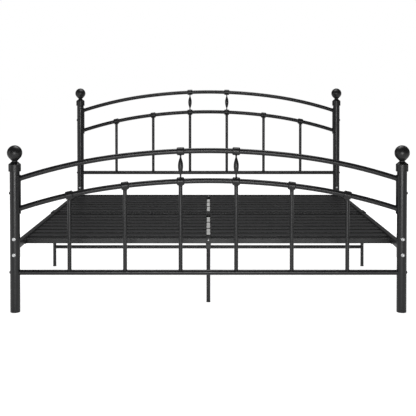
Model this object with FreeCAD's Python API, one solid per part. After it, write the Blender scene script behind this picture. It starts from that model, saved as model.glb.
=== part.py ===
import FreeCAD, Part
import math
import os

# Metal bed frame for a 180 x 200 cm mattress, in millimetres.
# The origin lies on the floor under the middle of the bed. +X is the right side seen from
# the foot, +Y points to the head and +Z points up. Every piece is written as its own STEP.

Vector = FreeCAD.Vector
X = Vector(1, 0, 0)
Y = Vector(0, 1, 0)
Z = Vector(0, 0, 1)

# --- overall sizes -------------------------------------------------------------------
post_pitch_x = 1830.0       # between post centres across the bed
post_pitch_y = 2050.0       # between post centres along the bed
head_raise = 265.0          # the head panel is the foot panel, set this much higher

# --- fits and clearances ---------------------------------------------------------------
weld_gap = 0.15             # left between pieces that are welded or clamped together
slide_gap = 0.2             # on each side of a piece that slides over or into another
bolt_gap = 0.3              # on each side of a bolt in its hole

# --- posts, finials and post feet ------------------------------------------------------
post_d = 47.0
post_wall = 1.5
post_top = 689.5            # top of the foot posts
foot_cap_t = 5.0            # plastic under the post's end
foot_cap_chamfer = 1.5
plug_wall = 2.0             # wall of the hollow spigots of the plastic feet
foot_spigot = 22.0
collar_d = 58.5
collar_h = 34.0
socket_depth = 22.0         # how far the finial's collar goes down over the post
collar_soft = 2.0           # rounding where the collar turns into the cone
cone_h = 15.5
cone_hollow = 0.4           # share of the cone's height and radius at its middle, which makes it flare
neck_d = 27.0
ball_d = 71.5
ball_taper = 43.0           # degrees below the ball's middle where it runs straight on to the neck

# --- head and foot panels, heights for the foot panel ----------------------------------
panel_tube_d = 25.0
panel_tube_wall = 1.2
upper_apex = 765.5          # tube centre at the middle of the upper arch
arch_rise = 130.0           # from the arch's end up to its middle
arch_flatness = 1.08        # radius of the arch's middle, over that of one plain arc
arch_mid_share = 0.5        # of the half span, before the tighter arc at each end
arch_spacing = 142.0        # lower arch below the upper one
bottom_rail_z = 188.5
baluster_d = 19.0
baluster_wall = 1.0
baluster_pitch = 263.0
baluster_count = 6
saddle_t = 5.0              # curved plate that carries both arch ends
saddle_half_angle = 54.0    # how far it wraps round the post, each way
saddle_above = 14.0         # past the end of the upper arch
saddle_below = 26.0         # past the end of the lower arch

# --- cast knuckles on the arches and the spindles between them -------------------------
knuckle_d = 37.5
knuckle_length = 36.0
knuckle_chamfer = 3.5
knuckle_neck_h = 5.0
knuckle_neck_d = 24.0
knuckle_spigot = 12.0       # goes into the top of the baluster
boss_d = 14.0
boss_h = 2.0
spindle_end_d = 8.0
spindle_stem = 9.0          # straight stretch at each end
spindle_mid_d = 25.0

# --- side rails ------------------------------------------------------------------------
rail_w = 25.0
rail_h = 32.0
rail_wall = 1.5
rail_top = 325.0
rail_split = 1.0            # between the two halves of a rail
bracket_t = 4.0             # curved bracket on the rail's end
bracket_h = 110.0
bracket_half_angle = 50.0
bracket_mid_z = 312.0
rail_bolt_pitch = 75.0
sleeve_t = 3.0              # box sleeve round the rail's middle joint
sleeve_length = 90.0

# --- deck ------------------------------------------------------------------------------
deck_below_rail = 8.0       # slat tops below the rail tops
bar_w = 25.0                # cross bars, along Y
bar_wall = 1.5
bar_setback = 187.5         # end cross bar's centre to the post's centre
flange_t = 3.0
flange_length = 60.0
flange_bolt_pitch = 40.0
slats_per_half = 7
slat_w = 64.0
slat_wall = 0.8
tongue_w = 40.0
tongue_length = 8.0
tongue_gap = 0.3
centre_slot = 24.0          # between the ends of the left and right slats

# --- centre beam and legs --------------------------------------------------------------
beam_w = 25.0
beam_h = 23.0
beam_wall = 1.5
joiner_length = 120.0
ledge_w = 60.0
ledge_t = 4.0
centre_bracket_w = 44.0
centre_bracket_t = 3.0
centre_bracket_foot = 40.0
centre_bolt_above = 16.0    # above the cross bar's underside
strip_w = 19.0              # plastic strips that keep the slats from rattling on the ledge
strip_t = 2.0
strip_break = 30.0          # bare ledge between two strips
leg_d = 19.0
leg_wall = 1.2
glide_d = 21.0
glide_t = 4.0
glide_spigot = 15.0
stretcher_d = 20.0
stretcher_z = 114.5

# --- fasteners -------------------------------------------------------------------------
bolt_d = 8.0
rail_head_d = 18.0
rail_head_h = 3.5
panel_head_d = 13.0
panel_head_h = 3.5
socket_af = 5.0             # across the flats of the hexagon socket
socket_deep = 2.5
head_rounding = 0.45        # of a bolt head's height
nut_af = 13.0
nut_h = 6.5
bolt_tip = 2.0              # bolt past its nut
plug_length = 24.0          # threaded plug in the end of a bottom rail
small_bolt_d = 6.0
small_head_d = 9.0
small_head_h = 3.0
small_nut_af = 10.0
small_nut_h = 5.0
small_socket_af = 4.0
small_socket_deep = 1.8
flange_bolt_past = 6.0      # flange bolt past the rail's inner wall

# --- worked out ------------------------------------------------------------------------
half_x = post_pitch_x / 2
half_y = post_pitch_y / 2
post_r = post_d / 2
saddle_in_r = post_r + weld_gap
saddle_out_r = saddle_in_r + saddle_t
bracket_in_r = post_r + weld_gap
bracket_out_r = bracket_in_r + bracket_t
arch_half_span = half_x - saddle_out_r
plain_radius = (arch_half_span ** 2 + arch_rise ** 2) / (2 * arch_rise)
mid_radius = plain_radius * arch_flatness
mid_half = arch_half_span * arch_mid_share
mid_turn = math.asin(mid_half / mid_radius)
mid_drop = mid_radius * (1 - math.cos(mid_turn))
end_turn = 2 * math.atan((arch_rise - mid_drop) / (arch_half_span - mid_half)) - mid_turn
end_radius = (arch_half_span - mid_half) / (math.sin(end_turn) - math.sin(mid_turn))
end_centre_x = (mid_radius - end_radius) * math.sin(mid_turn)
end_centre_drop = mid_radius - (mid_radius - end_radius) * math.cos(mid_turn)
lower_apex = upper_apex - arch_spacing
arch_bolt_z = upper_apex - arch_rise - arch_spacing / 2
rail_bottom = rail_top - rail_h
deck_top = rail_top - deck_below_rail
half_bar_y = half_y - bar_setback
slat_pitch = half_bar_y / (slats_per_half + 1)
ledge_top = rail_bottom
beam_top = ledge_top - ledge_t
beam_bottom = beam_top - beam_h
beam_end_y = half_bar_y + bar_w / 2
sleeve_in_w = rail_w + 2 * slide_gap
sleeve_out_w = sleeve_in_w + 2 * sleeve_t
sleeve_bottom = rail_bottom - weld_gap - sleeve_t
sleeve_top = rail_top + weld_gap + sleeve_t
sides = {"left": -1, "right": 1}
ends = {"foot": -1, "head": 1}


def raised(end):
    """How much higher than the foot panel the pieces of this end are."""
    return head_raise if end == "head" else 0.0


def save(name, *shapes):
    """Write one node, which holds one solid or a group of separate ones."""
    shape = shapes[0] if len(shapes) == 1 else Part.makeCompound(list(shapes))
    shape.exportStep("parts/" + name + ".step")


def rod(start, axis, length, diameter):
    return Part.makeCylinder(diameter / 2, length, start, axis)


def tube(start, axis, length, diameter, wall):
    bore = rod(start, axis, length, diameter - 2 * wall)
    return rod(start, axis, length, diameter).cut(bore)


def block(low, high):
    size = high - low
    return Part.makeBox(size.x, size.y, size.z, low)


def box_tube(low, high, axis, wall):
    """Rectangular tube from corner to corner, open at both ends along the axis."""
    inset = (X + Y + Z - axis) * wall
    return block(low, high).cut(block(low + inset, high - inset))


def hexagon(start, axis, length, across_flats):
    """Hexagonal prism with its middle line from start along the axis."""
    side = Z if abs(axis.z) < 0.5 else X
    corner = side * (across_flats / math.sqrt(3))
    turn = FreeCAD.Rotation(axis, 60)
    points = [corner]
    for _ in range(6):
        points.append(turn.multVec(points[-1]))
    outline = Part.makePolygon([start + p for p in points])
    return Part.Face(outline).extrude(axis * length)


def bolt(seat, axis, shank, diameter, head_d, head_h, socket, deep):
    """Button-head bolt: the head stands out of the seat, the shank goes in along the axis."""
    head = rod(seat, axis * -1, head_h, head_d)
    rim = [edge for edge in head.Edges if is_rim(edge, seat - axis * head_h)]
    head = head.makeFillet(head_h * head_rounding, rim)
    solid = head.fuse(rod(seat, axis, shank, diameter))
    return solid.cut(hexagon(seat - axis * head_h, axis, deep, socket))


def is_rim(edge, point):
    """True for the circle that is centred on the point."""
    return hasattr(edge.Curve, "Center") and (edge.Curve.Center - point).Length < 0.01


def seated_bolt(centre, axis, shank, head_d, head_h):
    """Bolt whose head is hollowed underneath, so that it sits on a round post."""
    sag = post_r - math.sqrt(post_r ** 2 - (head_d / 2) ** 2)
    seat = centre - axis * (post_r - sag)
    whole = bolt(seat, axis, shank + post_d - sag, bolt_d, head_d, head_h + sag, socket_af, socket_deep)
    shaft = rod(seat, axis, shank + post_d - sag, bolt_d)
    hollow = rod(centre - Z * head_d, Z, 2 * head_d, post_d + 2 * weld_gap)
    return whole.cut(hollow).fuse(shaft).removeSplitter()


def shell_arc(x, y, z, height, inner_r, outer_r, facing, half_angle):
    """Plate curved round a post's centre line, on the side that it faces."""
    whole = Part.makeCylinder(outer_r, height, Vector(x, y, z), Z, 2 * half_angle)
    bore = Part.makeCylinder(inner_r, height, Vector(x, y, z), Z)
    whole.rotate(Vector(x, y, z), Z, facing - half_angle)
    return whole.cut(bore)


def post_centre(side, end, z=0.0):
    return Vector(sides[side] * half_x, ends[end] * half_y, z)


def arch_turn(x):
    """Angle by which an arch slopes down at x, negative on the left."""
    if abs(x) <= mid_half:
        return math.asin(x / mid_radius)
    return math.copysign(math.asin((abs(x) - end_centre_x) / end_radius), x)


def arch_point(x, apex, y):
    """Point on the centre line of an arch."""
    if abs(x) <= mid_half:
        return Vector(x, y, apex - mid_radius * (1 - math.cos(arch_turn(x))))
    return Vector(x, y, apex - end_centre_drop + end_radius * math.cos(arch_turn(x)))


def make_post(side, end):
    top = post_top + raised(end)
    solid = tube(post_centre(side, end, foot_cap_t), Z, top - foot_cap_t, post_d, post_wall)
    hole = bolt_d + 2 * bolt_gap
    for z in (bottom_rail_z + raised(end), arch_bolt_z + raised(end)):
        solid = solid.cut(rod(post_centre(side, end, z) - X * post_d, X, 2 * post_d, hole))
    for z in rail_bolt_heights():
        solid = solid.cut(rod(post_centre(side, end, z) - Y * post_d, Y, 2 * post_d, hole))
    return solid


def rail_bolt_heights():
    return (bracket_mid_z - rail_bolt_pitch / 2, bracket_mid_z + rail_bolt_pitch / 2)


def make_post_foot(side, end):
    base = rod(post_centre(side, end), Z, foot_cap_t, post_d)
    lower_rim = [edge for edge in base.Edges if is_rim(edge, post_centre(side, end))]
    base = base.makeChamfer(foot_cap_chamfer, lower_rim)
    spigot_d = post_d - 2 * post_wall - 2 * slide_gap
    spigot = tube(post_centre(side, end, foot_cap_t), Z, foot_spigot, spigot_d, plug_wall)
    return base.fuse(spigot).removeSplitter()


def make_finial(side, end):
    """Ball that tapers to a neck and flares into a collar, turned about the post's centre line."""
    low = post_top + raised(end) - socket_depth
    cone_low = low + collar_h
    neck_z = cone_low + cone_h
    ball_r = ball_d / 2
    taper = math.radians(ball_taper)
    leave_r = ball_r * math.cos(taper)
    leave_z = neck_z + (leave_r - neck_d / 2) / math.tan(taper)
    ball_z = leave_z + ball_r * math.sin(taper)
    rim_r = collar_d / 2
    shoulder = Vector(rim_r - collar_soft, 0, cone_low + collar_soft / 2)
    flare_r = neck_d / 2 + cone_h * cone_hollow
    outline = [
        Part.makeLine(Vector(0, 0, low), Vector(rim_r, 0, low)),
        Part.makeLine(Vector(rim_r, 0, low), Vector(rim_r, 0, cone_low - collar_soft)),
        Part.Arc(Vector(rim_r, 0, cone_low - collar_soft),
                 Vector(rim_r - collar_soft / 4, 0, cone_low - collar_soft / 4),
                 shoulder).toShape(),
        Part.Arc(shoulder, Vector(flare_r, 0, neck_z - cone_h * cone_hollow),
                 Vector(neck_d / 2, 0, neck_z)).toShape(),
        Part.makeLine(Vector(neck_d / 2, 0, neck_z), Vector(leave_r, 0, leave_z)),
        Part.Arc(Vector(leave_r, 0, leave_z), Vector(ball_r, 0, ball_z),
                 Vector(0, 0, ball_z + ball_r)).toShape(),
        Part.makeLine(Vector(0, 0, ball_z + ball_r), Vector(0, 0, low)),
    ]
    solid = Part.Face(Part.Wire(outline)).revolve(Vector(0, 0, 0), Z, 360)
    solid = solid.cut(rod(Vector(0, 0, low), Z, socket_depth, post_d + 2 * slide_gap))
    solid.translate(post_centre(side, end))
    return solid


def make_arch(end, apex):
    """Tube bent flatter in its middle than at its ends, which are shaped to the saddle plates."""
    y = ends[end] * half_y
    top = Vector(0, y, apex + raised(end))
    middle = top - Z * mid_radius
    ring = Part.Face(Part.Wire(Part.makeCircle(panel_tube_d / 2, top, X)))
    bore = Part.Face(Part.Wire(Part.makeCircle(panel_tube_d / 2 - panel_tube_wall, top, X)))
    section = ring.cut(bore)
    section.rotate(middle, Y, -math.degrees(mid_turn))
    solid = section.revolve(middle, Y, 2 * math.degrees(mid_turn))
    tips = []
    for side, way in sides.items():
        tip = ring.cut(bore)
        tip.rotate(middle, Y * way, math.degrees(mid_turn))
        centre = top + X * way * end_centre_x - Z * end_centre_drop
        tips.append(tip.revolve(centre, Y * way, math.degrees(arch_turn(half_x) - mid_turn)))
    solid = solid.fuse(tips).removeSplitter()
    for side in sides:
        foot = post_centre(side, end, top.z - 2 * arch_rise)
        solid = solid.cut(rod(foot, Z, 3 * arch_rise, 2 * (saddle_out_r + weld_gap)))
    return solid


def make_saddle(side, end):
    """Curved plate between the post and the ends of the two arches."""
    low = upper_apex - arch_rise - arch_spacing - saddle_below + raised(end)
    height = saddle_below + arch_spacing + saddle_above
    centre = post_centre(side, end)
    facing = 0 if side == "left" else 180
    solid = shell_arc(centre.x, centre.y, low, height, saddle_in_r, saddle_out_r, facing, saddle_half_angle)
    bolt_at = post_centre(side, end, arch_bolt_z + raised(end))
    return solid.cut(rod(bolt_at - X * post_d, X, 2 * post_d, bolt_d + 2 * bolt_gap))


def make_bottom_rail(end):
    z = bottom_rail_z + raised(end)
    start = post_centre("left", end, z)
    solid = tube(start, X, post_pitch_x, panel_tube_d, panel_tube_wall)
    return trim_to_posts(solid, end, z)


def trim_to_posts(solid, end, z):
    """Shape the ends of a straight tube to the round posts."""
    for side in sides:
        post = rod(post_centre(side, end, z - panel_tube_d), Z, 2 * panel_tube_d, post_d + 2 * weld_gap)
        solid = solid.cut(post)
    return solid


def make_rail_plug(side, end):
    """Threaded plug in the end of a bottom rail."""
    z = bottom_rail_z + raised(end)
    inward = X * -sides[side]
    start = post_centre(side, end, z)
    plug_d = panel_tube_d - 2 * panel_tube_wall - 2 * slide_gap
    solid = rod(start, inward, post_r + plug_length, plug_d)
    solid = solid.cut(rod(start, inward, post_r + plug_length, bolt_d + 2 * weld_gap))
    return trim_to_posts(solid, end, z)


def baluster_places():
    first = -(baluster_count - 1) / 2
    return [(first + i) * baluster_pitch for i in range(baluster_count)]


def spindle_places():
    return [x for x in baluster_places() if abs(x) < baluster_pitch]


def neck_foot(x, end):
    """Where the neck of a knuckle on the lower arch ends and the baluster starts."""
    point = arch_point(x, lower_apex + raised(end), ends[end] * half_y)
    return point - Z * (knuckle_d / 2 + knuckle_neck_h)


def make_baluster(x, end):
    rail_z = bottom_rail_z + raised(end)
    start = Vector(x, ends[end] * half_y, rail_z)
    solid = tube(start, Z, neck_foot(x, end).z - rail_z, baluster_d, baluster_wall)
    return solid.cut(rod(start - X * baluster_d, X, 2 * baluster_d, panel_tube_d + 2 * weld_gap))


def knuckle_barrel(x, apex, end):
    """Chamfered sleeve round the arch's tube, along the arch."""
    centre = arch_point(x, apex + raised(end), ends[end] * half_y)
    along = Vector(math.cos(arch_turn(x)), 0, -math.sin(arch_turn(x)))
    start = centre - along * (knuckle_length / 2)
    barrel = rod(start, along, knuckle_length, knuckle_d)
    rims = [start, start + along * knuckle_length]
    edges = [edge for edge in barrel.Edges if any(is_rim(edge, rim) for rim in rims)]
    return barrel.makeChamfer(knuckle_chamfer, edges), centre, start, along


def bore_for_arch(solid, start, along):
    return solid.cut(rod(start - along, along, knuckle_length + 2, panel_tube_d + 2 * slide_gap))


def make_lower_knuckle(x, end):
    """Knuckle with a neck and a spigot for the baluster, and a boss where a spindle stands."""
    solid, centre, start, along = knuckle_barrel(x, lower_apex, end)
    foot = neck_foot(x, end)
    neck = Part.makeCone(baluster_d / 2, knuckle_neck_d / 2, knuckle_neck_h + knuckle_chamfer, foot, Z)
    spigot_d = baluster_d - 2 * baluster_wall - 2 * slide_gap
    solid = solid.fuse([neck, rod(foot - Z * knuckle_spigot, Z, knuckle_spigot, spigot_d)])
    if x in spindle_places():
        solid = solid.fuse(rod(centre, Z, knuckle_d / 2 + boss_h, boss_d))
    return bore_for_arch(solid, start, along).removeSplitter()


def make_upper_knuckle(x, end):
    solid, centre, start, along = knuckle_barrel(x, upper_apex, end)
    solid = solid.fuse(rod(centre, Z * -1, knuckle_d / 2 + boss_h, boss_d))
    return bore_for_arch(solid, start, along).removeSplitter()


def make_spindle(x, end):
    """Lens-shaped spindle between the bosses of two knuckles."""
    y = ends[end] * half_y
    low = arch_point(x, lower_apex + raised(end), y).z + knuckle_d / 2 + boss_h
    high = arch_point(x, upper_apex + raised(end), y).z - knuckle_d / 2 - boss_h
    lens_low = Vector(spindle_end_d / 2, 0, low + spindle_stem)
    lens_high = Vector(spindle_end_d / 2, 0, high - spindle_stem)
    widest = Vector(spindle_mid_d / 2, 0, (low + high) / 2)
    outline = [
        Part.makeLine(Vector(0, 0, low), Vector(spindle_end_d / 2, 0, low)),
        Part.makeLine(Vector(spindle_end_d / 2, 0, low), lens_low),
        Part.Arc(lens_low, widest, lens_high).toShape(),
        Part.makeLine(lens_high, Vector(spindle_end_d / 2, 0, high)),
        Part.makeLine(Vector(spindle_end_d / 2, 0, high), Vector(0, 0, high)),
        Part.makeLine(Vector(0, 0, high), Vector(0, 0, low)),
    ]
    solid = Part.Face(Part.Wire(outline)).revolve(Vector(0, 0, 0), Z, 360)
    solid.translate(Vector(x, y, 0))
    return solid


def slat_places(end):
    return [ends[end] * slat_pitch * (i + 1) for i in range(slats_per_half)]


def bar_places():
    return {"foot": -half_bar_y, "middle": 0.0, "head": half_bar_y}


def flange_bolt_places():
    """Y of every bolt through a cross bar's end flange."""
    places = []
    for y in bar_places().values():
        places.append(y - flange_bolt_pitch / 2)
        places.append(y + flange_bolt_pitch / 2)
    return places


def bar_mid_z():
    return (rail_bottom + deck_top) / 2


def make_side_rail(side, end):
    """Half of a side rail, slotted for the slats' tongues and drilled for the flange bolts."""
    x = sides[side] * half_x
    low_y = -half_y if end == "foot" else rail_split / 2
    high_y = -rail_split / 2 if end == "foot" else half_y
    low = Vector(x - rail_w / 2, low_y, rail_bottom)
    high = Vector(x + rail_w / 2, high_y, rail_top)
    solid = box_tube(low, high, Y, rail_wall)
    bracket = rod(post_centre(side, end, rail_bottom - rail_h), Z, 3 * rail_h, 2 * (bracket_out_r + weld_gap))
    solid = solid.cut(bracket)
    inner_x = x - sides[side] * rail_w / 2
    reach = Vector(2 * rail_wall, 0, 0)
    cuts = []
    for y in slat_places(end):
        slot_low = Vector(inner_x, y - tongue_w / 2 - tongue_gap, deck_top - slat_wall - tongue_gap)
        slot_high = Vector(inner_x, y + tongue_w / 2 + tongue_gap, deck_top + tongue_gap)
        cuts.append(block(slot_low - reach, slot_high + reach))
    for y in flange_bolt_places():
        centre = Vector(inner_x, y, bar_mid_z()) - reach
        cuts.append(rod(centre, X, 2 * reach.x, small_bolt_d + 2 * bolt_gap))
    return solid.cut(cuts)


def make_rail_bracket(side, end):
    """Curved bracket that the rail is welded to and the two rail bolts clamp to the post."""
    centre = post_centre(side, end)
    low = bracket_mid_z - bracket_h / 2
    facing = -90 * ends[end]
    solid = shell_arc(centre.x, centre.y, low, bracket_h, bracket_in_r, bracket_out_r, facing,
                      bracket_half_angle)
    for z in rail_bolt_heights():
        hole = rod(post_centre(side, end, z) - Y * post_d, Y, 2 * post_d, bolt_d + 2 * bolt_gap)
        solid = solid.cut(hole)
    return solid


def make_rail_sleeve(side):
    """Box sleeve that holds both halves of a side rail together at the middle leg."""
    x = sides[side] * half_x
    low = Vector(x - sleeve_out_w / 2, -sleeve_length / 2, sleeve_bottom)
    high = Vector(x + sleeve_out_w / 2, sleeve_length / 2, sleeve_top)
    room_low = Vector(x - sleeve_in_w / 2, -sleeve_length / 2, sleeve_bottom + sleeve_t)
    room_high = Vector(x + sleeve_in_w / 2, sleeve_length / 2, sleeve_top - sleeve_t)
    solid = block(low, high).cut(block(room_low, room_high))
    for y in (-flange_bolt_pitch / 2, flange_bolt_pitch / 2):
        inner_x = x - sides[side] * sleeve_out_w / 2
        start = Vector(inner_x - 2 * sleeve_t, y, bar_mid_z())
        solid = solid.cut(rod(start, X, 4 * sleeve_t, small_bolt_d + 2 * bolt_gap))
    return solid


def bar_face_x(place):
    """Distance from the middle of the bed to what the cross bar's flange bears on."""
    seat_w = sleeve_out_w if place == "middle" else rail_w
    return half_x - seat_w / 2 - weld_gap


def make_cross_bar(place):
    """Cross bar with a flange at each end."""
    y = bar_places()[place]
    outer_x = bar_face_x(place)
    low = Vector(-outer_x, y - bar_w / 2, rail_bottom)
    high = Vector(outer_x, y + bar_w / 2, deck_top)
    solid = box_tube(low, high, X, bar_wall)
    flanges = []
    for way in (-1, 1):
        edges = sorted((way * outer_x, way * (outer_x - flange_t)))
        flange_low = Vector(edges[0], y - flange_length / 2, rail_bottom)
        flange_high = Vector(edges[1], y + flange_length / 2, deck_top)
        flange = block(flange_low, flange_high)
        for step in (-flange_bolt_pitch / 2, flange_bolt_pitch / 2):
            start = Vector(edges[0] - flange_t, y + step, bar_mid_z())
            flange = flange.cut(rod(start, X, 3 * flange_t, small_bolt_d + 2 * bolt_gap))
        flanges.append(flange)
    solid = solid.fuse(flanges).removeSplitter()
    if place != "middle":
        start = Vector(0, y - bar_w, centre_bolt_z())
        solid = solid.cut(rod(start, Y, 2 * bar_w, small_bolt_d + 2 * bolt_gap))
    return solid


def centre_bolt_z():
    return rail_bottom + centre_bolt_above


def make_slat(side, y):
    """Half slat: a steel channel, open below, with a tongue that hooks into the rail."""
    way = sides[side]
    inner = way * centre_slot / 2
    outer = way * (half_x - rail_w / 2 - tongue_gap)
    near, far = sorted((inner, outer))
    low = Vector(near, y - slat_w / 2, ledge_top)
    high = Vector(far, y + slat_w / 2, deck_top)
    room = Vector(0, slat_wall, 0)
    channel = block(low, high).cut(block(low + room, high - room - Z * slat_wall))
    tip = outer + way * tongue_length
    near, far = sorted((outer - way, tip))
    tongue = block(Vector(near, y - tongue_w / 2, deck_top - slat_wall),
                   Vector(far, y + tongue_w / 2, deck_top))
    return channel.fuse(tongue).removeSplitter()


def make_centre_beam(end):
    """Half of the box beam: open where the joiner goes in, closed under the end cross bar."""
    joint = ends[end] * rail_split / 2
    tip = ends[end] * beam_end_y
    outer_ys = sorted((joint, tip))
    inner_ys = sorted((joint, tip - ends[end] * beam_wall))
    inset = (X + Z) * beam_wall
    outer = block(Vector(-beam_w / 2, outer_ys[0], beam_bottom), Vector(beam_w / 2, outer_ys[1], beam_top))
    inner = block(Vector(-beam_w / 2, inner_ys[0], beam_bottom) + inset,
                  Vector(beam_w / 2, inner_ys[1], beam_top) - inset)
    return outer.cut(inner)


def make_beam_joiner():
    inset = beam_wall + slide_gap
    low = Vector(-beam_w / 2 + inset, -joiner_length / 2, beam_bottom + inset)
    high = Vector(beam_w / 2 - inset, joiner_length / 2, beam_top - inset)
    return box_tube(low, high, Y, beam_wall)


def make_ledge(end):
    """Flat bar on the centre beam under the slats' inner ends, as narrow as the beam under the cross bar."""
    stretches = []
    for width, reach in ((ledge_w, half_bar_y - bar_w / 2), (beam_w, beam_end_y)):
        ys = sorted((ends[end] * rail_split / 2, ends[end] * reach))
        stretches.append(block(Vector(-width / 2, ys[0], beam_top), Vector(width / 2, ys[1], ledge_top)))
    return stretches[0].fuse(stretches[1]).removeSplitter()


def make_centre_bracket(end):
    """Angle that ties an end cross bar to the ledge."""
    face = ends[end] * (half_bar_y - bar_w / 2 - weld_gap)
    ys = sorted((face, face - ends[end] * centre_bracket_t))
    upright = block(Vector(-centre_bracket_w / 2, ys[0], ledge_top),
                    Vector(centre_bracket_w / 2, ys[1], deck_top))
    ys = sorted((face, face - ends[end] * centre_bracket_foot))
    foot = block(Vector(-centre_bracket_w / 2, ys[0], ledge_top),
                 Vector(centre_bracket_w / 2, ys[1], ledge_top + centre_bracket_t))
    solid = upright.fuse(foot).removeSplitter()
    start = Vector(0, face - 2 * centre_bracket_t, centre_bolt_z())
    return solid.cut(rod(start, Y, 4 * centre_bracket_t, small_bolt_d + 2 * bolt_gap))


def make_noise_strips(half):
    """Plastic strips on the ledge in one half of the bed, broken at every second slat."""
    ahead = bar_places()["foot"] if half == "foot" else bar_places()["middle"]
    last = ahead + (slats_per_half + 1) * slat_pitch - bar_w / 2 - strip_break / 2
    if half == "head":
        last -= centre_bracket_foot
    strips = []
    for step in range(2, slats_per_half + 1, 2):
        start = ahead + step * slat_pitch + strip_break / 2
        stop = ahead + (step + 2) * slat_pitch - strip_break / 2
        low = Vector(-strip_w / 2, start, ledge_top)
        strips.append(block(low, Vector(strip_w / 2, min(stop, last), ledge_top + strip_t)))
    return strips


def make_leg(x, y, top):
    return tube(Vector(x, y, glide_t), Z, top - weld_gap - glide_t, leg_d, leg_wall)


def make_glide(x, y):
    base = rod(Vector(x, y, 0), Z, glide_t, glide_d)
    spigot = rod(Vector(x, y, glide_t), Z, glide_spigot, leg_d - 2 * leg_wall - 2 * slide_gap)
    return base.fuse(spigot).removeSplitter()


def make_stretcher(side):
    """Low tube from the middle leg to a side leg, shaped to both."""
    solid = tube(Vector(0, 0, stretcher_z), X * sides[side], half_x, stretcher_d, leg_wall)
    for x in (0, sides[side] * half_x):
        leg = rod(Vector(x, 0, stretcher_z - stretcher_d), Z, 2 * stretcher_d, leg_d + 2 * weld_gap)
        solid = solid.cut(leg)
    return solid


def make_rail_bolt(side, end, z):
    inward = Y * -ends[end]
    past = bracket_out_r - post_r + nut_h + bolt_tip
    return seated_bolt(post_centre(side, end, z), inward, past, rail_head_d, rail_head_h)


def make_rail_nut(side, end, z):
    inward = Y * -ends[end]
    seat = post_centre(side, end, z) + inward * (bracket_out_r + weld_gap)
    nut = hexagon(seat, inward, nut_h, nut_af)
    return nut.cut(rod(seat - inward, inward, nut_h + 2, bolt_d + 2 * weld_gap))


def make_panel_bolt(side, end, z, past):
    inward = X * -sides[side]
    return seated_bolt(post_centre(side, end, z + raised(end)), inward, past, panel_head_d, panel_head_h)


def make_flange_bolt(side, place, y):
    """Bolt through a cross bar's flange into the rail."""
    outward = X * sides[side]
    seat = Vector(sides[side] * (bar_face_x(place) - flange_t), y, bar_mid_z())
    reach = half_x - rail_w / 2 + rail_wall + flange_bolt_past - (bar_face_x(place) - flange_t)
    return bolt(seat, outward, reach, small_bolt_d, small_head_d, small_head_h, small_socket_af,
                small_socket_deep)


def make_centre_bolt(end):
    inward = Y * -ends[end]
    seat = Vector(0, ends[end] * (half_bar_y + bar_w / 2), centre_bolt_z())
    shank = bar_w + weld_gap + centre_bracket_t + small_nut_h + bolt_tip
    return bolt(seat, inward, shank, small_bolt_d, small_head_d, small_head_h, small_socket_af,
                small_socket_deep)


def make_centre_nut(end):
    inward = Y * -ends[end]
    face = half_bar_y - bar_w / 2 - weld_gap - centre_bracket_t
    seat = Vector(0, ends[end] * face, centre_bolt_z())
    nut = hexagon(seat, inward, small_nut_h, small_nut_af)
    return nut.cut(rod(seat - inward, inward, small_nut_h + 2, small_bolt_d + 2 * weld_gap))


os.makedirs("parts", exist_ok=True)

corners = [(side, end) for end in ends for side in sides]
for side, end in corners:
    corner = end + "_" + side
    save(corner + "_post", make_post(side, end))
    save(corner + "_finial", make_finial(side, end))
    save(side + "_rail_" + end + "_half", make_side_rail(side, end))
save("post_feet", *[make_post_foot(side, end) for side, end in corners])
save("rail_end_brackets", *[make_rail_bracket(side, end) for side, end in corners])
save("bottom_rail_plugs", *[make_rail_plug(side, end) for side, end in corners])

for end in ends:
    save(end + "_upper_arch", make_arch(end, upper_apex))
    save(end + "_lower_arch", make_arch(end, lower_apex))
    save(end + "_bottom_rail", make_bottom_rail(end))
    save(end + "_saddle_plates", *[make_saddle(side, end) for side in sides])
    lower_knuckles = [make_lower_knuckle(x, end) for x in baluster_places()]
    upper_knuckles = [make_upper_knuckle(x, end) for x in spindle_places()]
    save(end + "_knuckles", *(lower_knuckles + upper_knuckles))
    save(end + "_spindles", *[make_spindle(x, end) for x in spindle_places()])
    for number, x in enumerate(baluster_places(), 1):
        save(end + "_baluster_" + str(number), make_baluster(x, end))
    for side in sides:
        save(end + "_" + side + "_slats", *[make_slat(side, y) for y in slat_places(end)])
save("centre_beams", *[make_centre_beam(end) for end in ends])
save("centre_ledges", *[make_ledge(end) for end in ends])
save("centre_beam_joiner", make_beam_joiner())
save("centre_brackets", *[make_centre_bracket(end) for end in ends])
save("noise_strips", *(make_noise_strips("foot") + make_noise_strips("head")))

save("rail_sleeves", *[make_rail_sleeve(side) for side in sides])
for place in bar_places():
    save(place + "_cross_bar", make_cross_bar(place))

centre_legs = [(0, y) for y in bar_places().values()]
side_legs = [(sides[side] * half_x, 0) for side in sides]
save("centre_legs", *[make_leg(x, y, beam_bottom) for x, y in centre_legs])
save("side_legs", *[make_leg(x, y, sleeve_bottom) for x, y in side_legs])
save("leg_glides", *[make_glide(x, y) for x, y in centre_legs + side_legs])
save("leg_stretchers", *[make_stretcher(side) for side in sides])

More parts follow.
